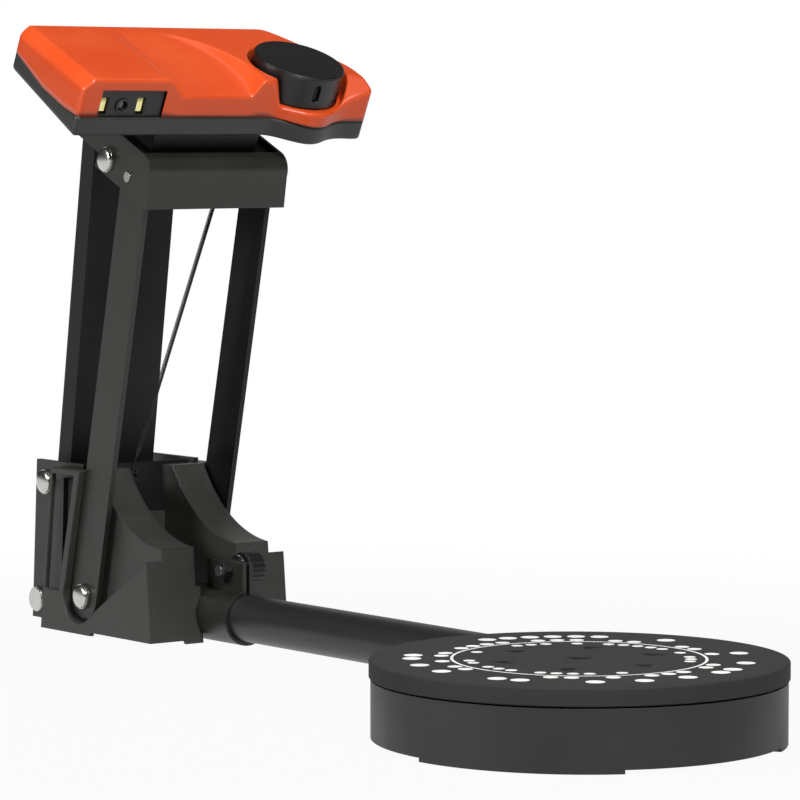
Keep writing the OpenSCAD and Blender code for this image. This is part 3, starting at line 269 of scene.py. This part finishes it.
def ease(t):  # 3t^2 - 2t^3 between 0 and 1
    t = np.clip(t, 0, 1)
    return t * t * (3 - 2 * t)


def softMin(a, b, r):  # the lower of a and b, rounded where they come within r of each other
    h = np.clip(0.5 + 0.5 * (b - a) / r, 0, 1)
    return b + (a - b) * h - r * h * (1 - h)


# how far a rounded edge of radius r has dropped at distance d in from it
def edgeDrop(d, r):
    t = np.clip(r - d, 0, r)
    return r - np.sqrt(r * r - t * t)


# head shells, in the head's own lengths: v forward, y across, w up
head = {
    "place": (-418.32, 68.5, 258.30), "tiltDeg": 25.0, "wall": 0.8, "creaseDeg": 50, "weldMm": 0.03,
    "near": -95.5, "far": 88.0, "back": -36.0, "front": 34.0, "frontZone": 30.0, "top": 62.0,
    # plan: a step forward at the far end, a lip swelling round the puck, and corners with their radii
    "farStep": 4.5, "farStepY": 77.0, "stepLead": 16.0, "stepRun": 20.0, "stepEnd": 4.0,
    "puck": (15.0, 51.5), "lipOut": 11.2, "lipHalf": 28.0, "lipSteps": 49, "lipRadius": 0.01,
    "farCorners": ((14.0, 88.0), (3.0, 83.5), (-29.0, 66.0), (-36.0, 60.5)),
    "nearRadii": (4, 2.5), "farRadii": (1, 7, 6, 8, 5, 5), "outlineGap": 1.5,
    # top: chamfer along the near end, scoop between its near wall and a bowl, recess open to the front
    "chamfer": 5.5, "edgeR": 1.9, "edgeBlend": 0.5,
    "scoopNear": -41.5, "scoopBack": -28.0, "scoopDepth": 9.0, "scoopSlope": 1.1, "scoopBlend": 2.2,
    "bowl": (20.0, -32.0), "bowlR": 51.5, "bowlRun": 0.6, "bowlBlend": 1.6,
    "recessR": 28.0, "floor": 47.5, "recessEdge": 1.2, "recessFade": 3.0,
    "openFromDeg": -58, "openFromRun": 14, "openToDeg": 74, "openToRun": 52,
    # heights at v = 0 and fall per mm of v, and the seam's own height along the near end as (v, w)
    "seam": (44.0, 0.1), "under": (33.0, 0.11), "nearSeamY": -91.0, "nearSeamRun": 4.0,
    "nearSeam": ((-37.6, 47.8), (-2.3, 40.5), (18.9, 39.8), (33.2, 40.8)),
}


# head lengths to the part's own frame: turned tiltDeg about Y, then moved to the head's place
def headToPart(points):
    cosine, sine = math.cos(math.radians(head["tiltDeg"])), math.sin(math.radians(head["tiltDeg"]))
    v, y, w = np.asarray(points, float).T
    x0, y0, z0 = head["place"]
    return np.stack([x0 + v * cosine + w * sine, y0 + y, z0 - v * sine + w * cosine], -1)


# front edge: level, stepping forward at the far end, and a cosine-squared swelling round the puck
def frontEdge(y, out):
    step = head["farStep"] * ease((y - head["farStepY"] + head["stepLead"]) / head["stepRun"])
    off = y - head["puck"][1]
    swell = np.where(np.abs(off) < head["lipHalf"], out * np.cos(np.pi / 2 * off / head["lipHalf"]) ** 2, 0)
    return head["front"] + step + swell


# polygon corners each cut by a quadratic curve that starts r before and ends r after the corner
def roundCorners(points, radii, steps=6):
    p = np.asarray(points, float)
    before, after = np.roll(p, 1, 0) - p, np.roll(p, -1, 0) - p
    lb, la = np.linalg.norm(before, axis=1), np.linalg.norm(after, axis=1)
    r = np.minimum(np.asarray(radii, float), 0.48 * np.minimum(lb, la))
    a, b = p + before * (r / lb)[:, None], p + after * (r / la)[:, None]
    t = np.linspace(0, 1, steps + 1)[None, :, None]
    curve = (1 - t) ** 2 * a[:, None] + 2 * t * (1 - t) * p[:, None] + t * t * b[:, None]
    return curve.reshape(-1, 2)


# points along a closed outline no further apart than gap
def spreadOutline(outline, gap):
    after = np.roll(outline, -1, 0)
    length = np.linalg.norm(after - outline, axis=1)
    outline, after, length = outline[length > 1e-4], after[length > 1e-4], length[length > 1e-4]
    count = np.maximum(1, np.ceil(length / gap).astype(int))
    which = np.repeat(np.arange(len(outline)), count)
    share = (np.arange(count.sum()) - np.repeat(np.cumsum(count) - count, count)) / count[which]
    return outline[which] + (after - outline)[which] * share[:, None]


# the outline moved in by e along its own normals, less the points that a tight corner throws near the edge
def insetOutline(outline, e):
    t = np.roll(outline, -1, 0) - np.roll(outline, 1, 0)
    t /= np.linalg.norm(t, axis=1)[:, None]
    moved = outline + np.stack([-t[:, 1], t[:, 0]], -1) * e
    return moved[distanceTo(moved, outline) > 0.96 * e]


# shortest distance from each point to a closed outline
def distanceTo(points, outline):
    a, b = outline, np.roll(outline, -1, 0)
    ab = b - a
    best = np.full(len(points), 1e9)
    for part in np.array_split(np.arange(len(points)), max(1, len(points) // 2000)):
        ap = points[part][:, None] - a[None]
        t = np.clip((ap * ab).sum(-1) / (ab * ab).sum(-1), 0, 1)
        best[part] = np.linalg.norm(ap - t[..., None] * ab, axis=-1).min(1)
    return best


# plan of the head, with the lip that far out
def headOutline(out):
    y = head["puck"][1] + head["lipHalf"] * np.linspace(-1, 1, head["lipSteps"])
    farFront = head["front"] + head["farStep"]
    corners = [(head["back"], head["near"]), (head["front"], head["near"]), *zip(frontEdge(y, out), y),
               (farFront, head["farStepY"] + head["stepEnd"]), (farFront, head["far"]), *head["farCorners"]]
    radii = [*head["nearRadii"], *[head["lipRadius"]] * head["lipSteps"], *head["farRadii"]]
    return spreadOutline(roundCorners(corners, radii), head["outlineGap"])


# which points lie inside a closed outline, by the even-odd rule
def insideOutline(points, outline):
    a, b = outline, np.roll(outline, -1, 0)
    x, y = points[:, 0, None], points[:, 1, None]
    above = (a[None, :, 1] > y) != (b[None, :, 1] > y)
    rise = np.where(b[:, 1] == a[:, 1], 1e-9, b[:, 1] - a[:, 1])
    cut = a[None, :, 0] + (y - a[None, :, 1]) * (b - a)[None, :, 0] / rise[None]
    return (above & (x < cut)).sum(1) % 2 == 1


# shares of the grid's gap between rows, to the outline and to a ring, and a ring's least distance in mm
filling = {"row": 0.9, "toOutline": 0.6, "toRing": 0.35, "ringLeast": 0.08}


# flat triangles inside an outline, with rings of points kept as edges where they lie inside it
def fillOutline(outline, rings, gap):
    lo, hi = outline.min(0), outline.max(0)
    gx, gy = np.meshgrid(np.arange(lo[0], hi[0], gap), np.arange(lo[1], hi[1], gap * filling["row"]))
    gx[1::2] += gap / 2
    inner = np.stack([gx.ravel(), gy.ravel()], -1)
    clear = distanceTo(inner, outline) > gap * filling["toOutline"]
    inner = inner[insideOutline(inner, outline) & clear]
    for ring in rings:
        inner = inner[distanceTo(inner, ring) > gap * filling["toRing"]]
    count = len(outline)
    loops = [outline]
    edges = [np.stack([np.arange(count), (np.arange(count) + 1) % count], -1)]
    for ring in rings:
        kept = insideOutline(ring, outline) & (distanceTo(ring, outline) > filling["ringLeast"])
        number = np.cumsum(kept) - 1
        linked = kept & np.roll(kept, -1)
        edges.append(np.stack([number, np.roll(number, -1)], -1)[linked] + count)
        loops.append(ring[kept])
        count += int(kept.sum())
    points = np.concatenate(loops + [inner])
    made = delaunay_2d_cdt([Vector(p) for p in points.tolist()], np.concatenate(edges).tolist(),
                           [list(range(len(outline)))], 1, 1e-6)
    return np.array([tuple(p) for p in made[0]]), [list(f) for f in made[2]]


# top of the orange shell: a level plane, lowered by the near chamfer and by the scoop, whose floor slopes to
# the front, whose near wall lies back and whose far wall is part of a bowl; round the puck it falls to the
# recess floor in front, and every edge is rounded
def topHeight(points, outline):
    v, y = points.T
    top = np.full(len(points), head["top"])
    scoopRun = head["front"] - head["scoopBack"]
    scoopFloor = head["top"] - head["scoopDepth"] * (v - head["scoopBack"]) / scoopRun
    nearWall = head["top"] - (y - head["scoopNear"]) * head["scoopSlope"]
    reach = np.hypot(v - head["bowl"][0], y - head["bowl"][1])
    bowlWall = head["top"] - (head["bowlR"] - reach) / head["bowlRun"]
    scoop = -softMin(-scoopFloor, -nearWall, head["scoopBlend"])
    scoop = -softMin(-scoop, -bowlWall, head["bowlBlend"])
    top = softMin(top, scoop, head["edgeBlend"])
    top = softMin(top, head["top"] - head["chamfer"] + (y - head["near"]), head["edgeBlend"])
    dv, dy = v - head["puck"][0], y - head["puck"][1]
    r, angle = np.hypot(dv, dy), np.degrees(np.arctan2(dy, dv))
    opened = (ease((angle - head["openFromDeg"]) / head["openFromRun"])
              * ease((head["openToDeg"] - angle) / head["openToRun"]))
    top = head["floor"] + (top - head["floor"]) * (1 - opened)
    rounded = edgeDrop(np.maximum(r - head["recessR"], 0), head["recessEdge"])
    rounded = rounded * np.clip((top - head["floor"]) / head["recessFade"], 0, 1)
    top = np.where(r < head["recessR"] - 0.02, head["floor"], top - rounded)
    return top - edgeDrop(distanceTo(points, outline), head["edgeR"])


# seam between the shells: a straight line falling forward, dipping along the near end
def seamHeight(points):
    v, y = points.T
    straight = head["seam"][0] - head["seam"][1] * v
    nearSide = np.interp(v, *zip(*head["nearSeam"]))
    return straight + (nearSide - straight) * ease((head["nearSeamY"] - y) / head["nearSeamRun"])


def underHeight(points):  # underside of the lower shell
    return head["under"][0] - head["under"][1] * points[:, 0]


def circle(centre, r, count):
    a = np.linspace(0, 2 * np.pi, count, endpoint=False)
    return np.stack([centre[0] + r * np.cos(a), centre[1] + r * np.sin(a)], -1)


# wall points at each level under an outline, and quads that join them to the rim points made by the filling
def hangWall(flat, outline, levels):
    wall = np.concatenate([np.column_stack([outline, level]) for level in levels])
    rim = np.array([int(np.argmin(((flat - o) ** 2).sum(1))) for o in outline])
    index = np.concatenate([rim[None], (np.arange(levels.size) + len(flat)).reshape(levels.shape)])
    right = np.roll(index, -1, 1)
    return wall, np.stack([index[:-1], index[1:], right[1:], right[:-1]], -1).reshape(-1, 4)


# rings inside the edge and round the recess, in mm; the window is where the front wall stops above the camera
upper = {
    "edgeRings": (0.12, 0.4, 0.85, 1.4, 1.95), "recessRings": (-0.04, 0.0, 0.1, 0.35, 0.75, 1.25),
    "recessSides": 180, "fillGap": 1.6, "wallRows": 5, "seamGap": 0.15,
    "window": (-83.4, -43.2), "windowTop": 55.5, "windowSteps": 24, "windowInset": 1, "windowClear": 0.8,
    "cornerGap": 0.02, "nearly": 0.01,
}


def makeUpperShell():
    outline = headOutline(head["lipOut"])
    low, high = upper["window"]
    clear = upper["windowClear"]
    onFront = np.abs(outline[:, 0] - head["front"]) < upper["nearly"]
    keep = outline[~(onFront & (outline[:, 1] > low - clear) & (outline[:, 1] < high + clear))]
    # each side of the window gets two points, so that the wall can stop at its top
    gap, inset = upper["cornerGap"], upper["windowInset"]
    across = [low - gap, low, *np.linspace(low + inset, high - inset, upper["windowSteps"]), high, high + gap]
    extra = np.array([(head["front"], y) for y in across])
    inFront = keep[:-1, 0] > head["frontZone"]
    at = np.flatnonzero((keep[:-1, 1] < low) & (keep[1:, 1] > high) & inFront)[0] + 1
    outline = np.concatenate([keep[:at], extra, keep[at:]])
    rings = [insetOutline(outline, e) for e in upper["edgeRings"]]
    rings += [circle(head["puck"], head["recessR"] + e, upper["recessSides"]) for e in upper["recessRings"]]
    flat, faces = fillOutline(outline, rings, upper["fillGap"])
    top = np.column_stack([flat, topHeight(flat, outline)])
    # the side wall goes from the rounded edge down to the seam, or to the window's top
    edge = topHeight(outline, outline)
    inWindow = (outline[:, 1] > low - upper["nearly"]) & (outline[:, 1] < high + upper["nearly"])
    inWindow &= outline[:, 0] > head["frontZone"]
    bottom = np.where(inWindow, upper["windowTop"], seamHeight(outline) + upper["seamGap"])
    share = np.linspace(0, 1, upper["wallRows"] + 1)[1:, None]
    wall, quads = hangWall(flat, outline, edge[None] + (bottom - edge)[None] * share)
    return makePiece("upperShellSkin", headToPart(np.concatenate([top, wall])), faces + quads.tolist(),
                     "polishedOrangeAbs", head["creaseDeg"], head["weldMm"])


# gives a skin a wall of even thickness, and puts it in its node's place
def giveWall(piece, thickness, body, node):
    solid = piece.modifiers.new("wall", "SOLIDIFY")
    solid.thickness, solid.offset, solid.use_even_offset, solid.use_rim = thickness * mm, -1.0, False, True
    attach(piece, body)
    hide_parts(node)


upperShell = makeUpperShell()
giveWall(upperShell, head["wall"], "head", "upper_shell")
print("upper shell:", len(upperShell.data.polygons), "faces")


# how much less far the lip goes and how far the side stands in, then the rounded bottom edge and its rings
lower = {
    "lipLess": 1.2, "inset": 0.12, "edgeR": 2.4, "edgeRings": (0.15, 0.5, 1.05, 1.7, 2.4),
    "fillGap": 4.0, "wallRows": 4, "seamGap": 0.1,
}


# lower shell: wall from the seam down, a rounded bottom edge and a flat sloping underside
def makeLowerShell():
    outline = insetOutline(headOutline(head["lipOut"] - lower["lipLess"]), lower["inset"])
    rings = [insetOutline(outline, e) for e in lower["edgeRings"]]
    flat, faces = fillOutline(outline, rings, lower["fillGap"])
    rise = edgeDrop(distanceTo(flat, outline), lower["edgeR"])
    under = np.column_stack([flat, underHeight(flat) + rise])
    edge = underHeight(outline) + lower["edgeR"]
    seam = seamHeight(outline) - lower["seamGap"]
    share = np.linspace(0, 1, lower["wallRows"] + 1)[1:, None]
    wall, quads = hangWall(flat, outline, edge[None] + (seam - edge)[None] * share)
    faces = [f[::-1] for f in faces] + quads[:, [0, 3, 2, 1]].tolist()  # the underside looks down
    return makePiece("lowerShellSkin", headToPart(np.concatenate([under, wall])), faces,
                     "charcoalAbs", head["creaseDeg"], head["weldMm"])


lowerShell = makeLowerShell()
giveWall(lowerShell, head["wall"], "head", "lower_shell")
print("lower shell:", len(lowerShell.data.polygons), "faces")


# platter: disc with a rolled rim, a centre hole and six fixing holes, printed with a line and rings of dots
platter = {
    "r": 95.0, "top": 37.4, "under": 33.4, "rimW": 5.0, "rimH": 8.2,
    "roll": 0.9, "rollSteps": 7, "bevel": 0.4,
    "centreR": 3.15, "holeR": 2.3, "holeRing": 36.5, "holeCount": 6, "holeTurnDeg": 12.0,
    "sides": 180, "centreSides": 40, "holeSides": 32, "fillGap": 6,
    "lineR": 57.5, "lineW": 1.3, "inkT": 0.04, "creaseDeg": 30,
    # the dots sit on equal slots round the platter, some left empty, in rings of radius, diameter and slots
    "dotSlots": 43, "dotTurnDeg": -1.4, "dotSides": 48, "dotRings": (
        (50.3, 5.4, (5, 6, 7, 9, 11, 12, 13, 14, 15, 17, 19, 20, 21, 25, 29, 30, 32, 33, 34, 36, 37, 38, 39,
                     41)),
        (62.6, 6.8, (0, 1, 3, 4, 8, 10, 11, 14, 15, 17, 18, 19, 21, 22, 23, 24, 26, 27, 29, 31, 32, 37, 38,
                     40, 42)),
        (75.5, 8.6, (0, 2, 3, 5, 8, 13, 16, 17, 18, 19, 20, 21, 27, 28, 30, 32, 35, 36, 39, 41)),
    ),
}


# rows of points turned about Z through the origin, each row one (radius, height) of a section
def turnProfile(section, count):
    a = np.linspace(0, 2 * np.pi, count, endpoint=False)
    return np.concatenate([np.stack([r * np.cos(a), r * np.sin(a), z + 0 * a], -1) for r, z in section])


def makePlatter():
    p = platter
    inside, low = p["r"] - p["rimW"], p["top"] - p["rimH"]
    holes = [circle((0, 0), p["centreR"], p["centreSides"])]
    for turn in np.radians(p["holeTurnDeg"] + 360 / p["holeCount"] * np.arange(p["holeCount"])):
        centre = (p["holeRing"] * math.cos(turn), p["holeRing"] * math.sin(turn))
        holes.append(circle(centre, p["holeR"], p["holeSides"]))
    points, faces = [], []

    def add(new, newFaces):
        first = sum(len(part) for part in points)
        points.append(new)
        faces.extend([[i + first for i in f] for f in newFaces])

    for r, z, up in ((p["r"] - p["roll"], p["top"], True), (inside, p["under"], False)):
        flat, made = fillOutline(circle((0, 0), r, p["sides"]), holes, p["fillGap"])
        middle = np.array([flat[f].mean(0) for f in made])
        solid = np.ones(len(made), bool)
        for hole in holes:  # faces made inside a hole are left out
            reach = np.linalg.norm(hole[0] - hole.mean(0)) * 0.97
            solid &= np.linalg.norm(middle - hole.mean(0), axis=1) > reach
        add(np.column_stack([flat, np.full(len(flat), z)]),
            [f if up else f[::-1] for f, keep in zip(made, solid) if keep])
    for hole in holes:  # hole walls face the hole's axis
        rows = [np.column_stack([hole, np.full(len(hole), z)]) for z in (p["top"], p["under"])]
        add(np.concatenate(rows), gridFaces(2, len(hole), True))
    section = []
    for a in np.radians(np.linspace(90, 0, p["rollSteps"])):
        section.append((p["r"] - p["roll"] * (1 - math.cos(a)), p["top"] - p["roll"] * (1 - math.sin(a))))
    section += [(p["r"], low + p["bevel"]), (p["r"] - p["bevel"], low), (inside, low), (inside, p["under"])]
    add(turnProfile(section, p["sides"]), [f[::-1] for f in gridFaces(len(section), p["sides"], True)])
    return makePiece("platterDisc", np.concatenate(points), faces, "mattPlatterAbs", p["creaseDeg"])


# printed discs with a thin edge
def makeDots():
    p, n = platter, platter["dotSides"]
    points, faces = [], []
    for ringR, size, slots in p["dotRings"]:
        for turn in np.radians(np.array(slots) * 360 / p["dotSlots"] + p["dotTurnDeg"]):
            disc = circle((ringR * math.cos(turn), ringR * math.sin(turn)), size / 2, n)
            first = 2 * n * len(points)
            rows = [np.column_stack([disc, np.full(n, z)]) for z in (p["top"] + p["inkT"], p["top"])]
            points.append(np.concatenate(rows))
            faces.append(list(range(first, first + n)))
            faces += [f[::-1] for f in gridFaces(2, n, True, first)]
    return makePiece("platterPrintedDots", np.concatenate(points), faces, "whiteScreenInk", p["creaseDeg"])


# printed line between two radii, with a thin edge
def makeLine():
    p = platter
    inner, outer, top = p["lineR"] - p["lineW"] / 2, p["lineR"] + p["lineW"] / 2, p["top"] + p["inkT"]
    section = [(inner, p["top"]), (inner, top), (outer, top), (outer, p["top"])]
    faces = [f[::-1] for f in gridFaces(len(section), p["sides"], True)]
    return makePiece("platterPrintedLine", turnProfile(section, p["sides"]), faces, "whiteScreenInk",
                     p["creaseDeg"])


for piece, node in ((makePlatter(), "platter"), (makeDots(), "platter_dots"), (makeLine(), "platter_circle")):
    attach(piece, "turntable")
    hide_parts(node)
print("platter and its print made")


# domed rivet heads, pressed over the flat heads that the model carries: share of their radius, and height
dome = {"share": 0.93, "rise": 1.7, "sink": 0.3, "steps": 10, "topDeg": 88, "sides": 64, "creaseDeg": 60}


# a dome at each end of a node that lies along Y
def makeDomes(node, body):
    (x0, y0, z0), (x1, y1, z1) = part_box(node)
    r = dome["share"] * (x1 - x0) / 2 / mm
    arc = np.radians(np.linspace(0, dome["topDeg"], dome["steps"]))
    section = [(r, -dome["sink"])] + [(r * math.cos(a), dome["rise"] * math.sin(a)) for a in arc]
    points, faces = [], []
    for y, way in ((y0 / mm, -1), (y1 / mm, 1)):
        turned = turnProfile(section, dome["sides"])
        first = sum(len(part) for part in points)
        points.append(np.column_stack([turned[:, 0] + (x0 + x1) / 2 / mm, y + way * turned[:, 2],
                                       turned[:, 1] + (z0 + z1) / 2 / mm]))
        top = first + dome["steps"] * dome["sides"]
        made = gridFaces(len(section), dome["sides"], True, first) + [list(range(top, top + dome["sides"]))]
        faces += [f[::-1] for f in made] if way < 0 else made
    piece = makePiece(node + "Domes", np.concatenate(points), faces, "nickelPlatedSteel", dome["creaseDeg"])
    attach(piece, body)


for node in ("arm_rivets", "bracket_rivets", "link_rivets"):
    makeDomes(node, body_of(nodes[node])[0])
print("rivet domes made")


# sheet that closes the channel behind the pillars, up to the link's bushes, in the black paint darkened as
# painted shade
backSheet = {"x": (-456.4, -455.3), "y": (36.2, 100.8), "z": (30.0, 91.5), "cornerR": 3.0}


def makeBackSheet():
    (ya, yb), (za, zb) = backSheet["y"], backSheet["z"]
    flat = roundCorners([(ya, za), (yb, za), (yb, zb), (ya, zb)], [backSheet["cornerR"]] * 4)
    n = len(flat)
    points = np.concatenate([np.column_stack([np.full(n, x), flat]) for x in backSheet["x"]])
    faces = gridFaces(2, n, True) + [list(range(n)), list(range(n, 2 * n))[::-1]]
    piece = makePiece("towerBackSheet", points, [f[::-1] for f in faces], "paintedShadeBlackPaint")
    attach(piece, "base")


makeBackSheet()
print("back sheet made")


# tension spring between the base and the arms' upper shaft: places and sizes in mm, then counts; blendTo is
# the share of its run over which it goes from the base to the arms
spring = {
    "low": (-447.3, 56.9, 86.1), "high": (-398.92, 84.3, 249.26), "coilR": 0.98, "wireR": 0.4, "turns": 165,
    "tail": 9.0, "tailGap": 0.4, "hookGap": 1.2, "leadTurns": 6, "lowHookR": 1.6, "highHookR": 3.35,
    "hookDeg": (-200, 90), "hookSteps": 40, "tailSteps": 10, "perTurn": 14, "sides": 7, "creaseDeg": 60,
    "blendTo": 0.55,
}


# wire centreline: a ring round the lower pin, a straight tail, curls whose radius grows and falls over the
# lead by a smooth step, the upper tail and a ring round the shaft; it is carried from low to high
def springLine():
    low, high = np.array(spring["low"]), np.array(spring["high"])
    run = np.linalg.norm(high - low)
    turns, lead, steps = spring["turns"], spring["leadTurns"], spring["tailSteps"]
    lowEnd, highEnd = spring["tail"], run - spring["tail"]
    t = np.linspace(0, 1, turns * spring["perTurn"])
    r = spring["coilR"] * ease(t * turns / lead) * ease((1 - t) * turns / lead)
    a = 2 * np.pi * turns * t + np.pi / 2
    coil = np.stack([r * np.cos(a), r * np.sin(a), lowEnd + (highEnd - lowEnd) * t], -1)

    def hook(radius, ring, z):
        return np.stack([radius * np.cos(ring), 0 * ring, z + radius * np.sin(ring)], -1)

    def tail(start, end):
        return np.stack([np.zeros(steps), np.zeros(steps), np.linspace(start, end, steps)], -1)

    ring = np.radians(np.linspace(*spring["hookDeg"], spring["hookSteps"]))
    line = np.concatenate([
        hook(spring["lowHookR"], ring, 0),
        tail(spring["lowHookR"] + spring["hookGap"], lowEnd - spring["tailGap"]),
        coil,
        tail(highEnd + spring["tailGap"], run - spring["highHookR"] - spring["hookGap"]),
        hook(spring["highHookR"], -ring[::-1], run)])
    ends = spring["hookSteps"] + steps
    radial = np.concatenate([np.full(ends, np.pi / 2), a, np.full(ends, np.pi / 2)])
    at = np.arange(1, len(line) - 1)
    nearEnd = (at < ends + steps) | (at > len(line) - ends - steps)
    for _ in range(2):  # eases the bends where tail meets ring
        eased = (line[:-2] + 2 * line[1:-1] + line[2:]) / 4
        line[1:-1] = np.where(nearEnd[:, None], eased, line[1:-1])
    zWay = (high - low) / run
    yWay = np.array([0, 1.0, 0]) - zWay[1] * zWay
    yWay /= np.linalg.norm(yWay)
    turned = np.stack([np.cross(yWay, zWay), yWay, zWay])
    out = np.stack([np.cos(radial), np.sin(radial), 0 * radial], -1) @ turned
    return low + line @ turned, out


# the wire's round section carried along its line, with a cap at each end
def makeSpring():
    line, out = springLine()
    tangent = np.gradient(line, axis=0)
    tangent /= np.linalg.norm(tangent, axis=1)[:, None]
    n = out - (out * tangent).sum(1)[:, None] * tangent
    n /= np.linalg.norm(n, axis=1)[:, None]
    b = np.cross(tangent, n)
    sides = spring["sides"]
    a = np.linspace(0, 2 * np.pi, sides, endpoint=False)[None, :, None]
    tube = line[:, None] + spring["wireR"] * (np.cos(a) * n[:, None] + np.sin(a) * b[:, None])
    last = (len(line) - 1) * sides
    faces = gridFaces(len(line), sides, True) + [list(range(sides))[::-1], list(range(last, last + sides))]
    return makePiece("armSpringWire", tube.reshape(-1, 3), faces, "blackOxideSteel",
                     spring["creaseDeg"])


springWire = makeSpring()
springLow, springHigh = Vector(spring["low"]), Vector(spring["high"])
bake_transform(springWire, "base", "arms", start=springLow * mm,
         end=(springLow + (springHigh - springLow) * spring["blendTo"]) * mm)
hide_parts("arm_spring")
print("spring:", len(springWire.data.polygons), "faces")


# floor and world, in metres: the share of plain white over the grey paper is open at near and 1 at far
studio = {
    "floorZ": -0.0004, "floorSize": 14.0, "paper": 0.2, "open": 0.95,
    "middle": (-0.2, 0, 0), "near": 0.3, "far": 0.75, "worldTint": (1, 0.99, 0.96, 1), "worldLight": 0.03,
}


# a new node tree to fill, of a material or a world
def emptyTree(owner):
    owner.use_nodes = True
    owner.node_tree.nodes.clear()
    return owner.node_tree


# a mix of two shaders, all of it the second where the share is 1
def mixShaders(tree, share, first, second):
    return addNode(tree, "ShaderNodeMixShader", None,
                   {0: share.outputs[0], 1: first.outputs[0], 2: second.outputs[0]})


# the floor shows as plain white and keeps part of the shadow that falls on it
def makeFloor():
    mesh = bpy.data.meshes.new("studioFloor")
    s, z = studio["floorSize"], studio["floorZ"]
    mesh.from_pydata([(-s, -s, z), (s, -s, z), (s, s, z), (-s, s, z)], [], [(0, 1, 2, 3)])
    floor = bpy.data.objects.new("studioFloor", mesh)
    bpy.context.scene.collection.objects.link(floor)
    material = bpy.data.materials.new("whitePaperSweep")
    tree = emptyTree(material)
    paper = addNode(tree, "ShaderNodeBsdfDiffuse", {"Color": (*[studio["paper"]] * 3, 1)})
    seen = addNode(tree, "ShaderNodeEmission", {"Color": (1, 1, 1, 1), "Strength": 1.0})
    place = addNode(tree, "ShaderNodeTexCoord").outputs["Object"]
    away = addNode(tree, "ShaderNodeVectorMath", {"operation": "DISTANCE", 1: studio["middle"]}, {0: place})
    share = addNode(tree, "ShaderNodeMapRange",
                    {"interpolation_type": "SMOOTHSTEP", "From Min": studio["near"],
                     "From Max": studio["far"], "To Min": studio["open"], "To Max": 1.0},
                    {"Value": away.outputs["Value"]})
    mixed = mixShaders(tree, share, paper, seen)
    path = addNode(tree, "ShaderNodeLightPath")
    direct = addNode(tree, "ShaderNodeMath", {"operation": "MAXIMUM"},
                     {0: path.outputs["Is Camera Ray"], 1: path.outputs["Is Transmission Ray"]})
    direct = addNode(tree, "ShaderNodeMath", {"operation": "MAXIMUM"},
                     {0: direct.outputs[0], 1: path.outputs["Is Glossy Ray"]})
    surface = mixShaders(tree, direct, paper, mixed)
    addNode(tree, "ShaderNodeOutputMaterial", None, {"Surface": surface.outputs[0]})
    mesh.materials.append(material)


# the world shows as white and lights the part faintly
def makeWorld():
    world = bpy.data.worlds.new("studioWorld")
    bpy.context.scene.world = world
    tree = emptyTree(world)
    path = addNode(tree, "ShaderNodeLightPath")
    shown = addNode(tree, "ShaderNodeBackground", {"Color": (1, 1, 1, 1), "Strength": 1.0})
    lit = addNode(tree, "ShaderNodeBackground",
                  {"Color": studio["worldTint"], "Strength": studio["worldLight"]})
    seen = addNode(tree, "ShaderNodeMath", {"operation": "MAXIMUM"},
                   {0: path.outputs["Is Camera Ray"], 1: path.outputs["Is Transmission Ray"]})
    addNode(tree, "ShaderNodeOutputWorld", None, {"Surface": mixShaders(tree, seen, lit, shown).outputs[0]})


makeFloor()
makeWorld()

lamps = {  # place and aim in metres, size in metres, watts
    "leftBox": ((-0.6, -1.8, 1.0), (-0.3, 0, 0.15), 0.6, 26.0),
    "topBox": ((-0.2, 0.3, 1.9), (-0.2, 0, 0.0), 1.4, 5.0),
    "frontBox": ((1.3, -0.4, 1.5), (-0.35, 0, 0.1), 0.6, 48.0),
    "backBox": ((-1.5, 1.4, 0.45), (-0.1, 0, 0.04), 1.3, 3.5),
}
for name, (place, aim, size, watts) in lamps.items():
    light = bpy.data.lights.new(name, "AREA")
    light.shape, light.size, light.energy = "SQUARE", size, watts
    lamp = bpy.data.objects.new(name, light)
    lamp.location = place
    lamp.rotation_euler = (Vector(aim) - Vector(place)).to_track_quat("-Z", "Y").to_euler()
    bpy.context.scene.collection.objects.link(lamp)

# the camera as solved from the photo
view = {"lens": 178.59, "sensor": 36.0, "place": (1.3582, -1.1478, 0.2798), "turnDeg": (85.9527, 0, 52.4027)}
cameraData = bpy.data.cameras.new("photoCamera")
cameraData.lens, cameraData.sensor_width, cameraData.sensor_fit = view["lens"], view["sensor"], "HORIZONTAL"
camera = bpy.data.objects.new("photoCamera", cameraData)
camera.location = view["place"]
camera.rotation_euler = [math.radians(turn) for turn in view["turnDeg"]]
bpy.context.scene.collection.objects.link(camera)
bpy.context.scene.camera = camera
bpy.context.scene.view_settings.view_transform = "Standard"
print("floor, lamps and camera set")
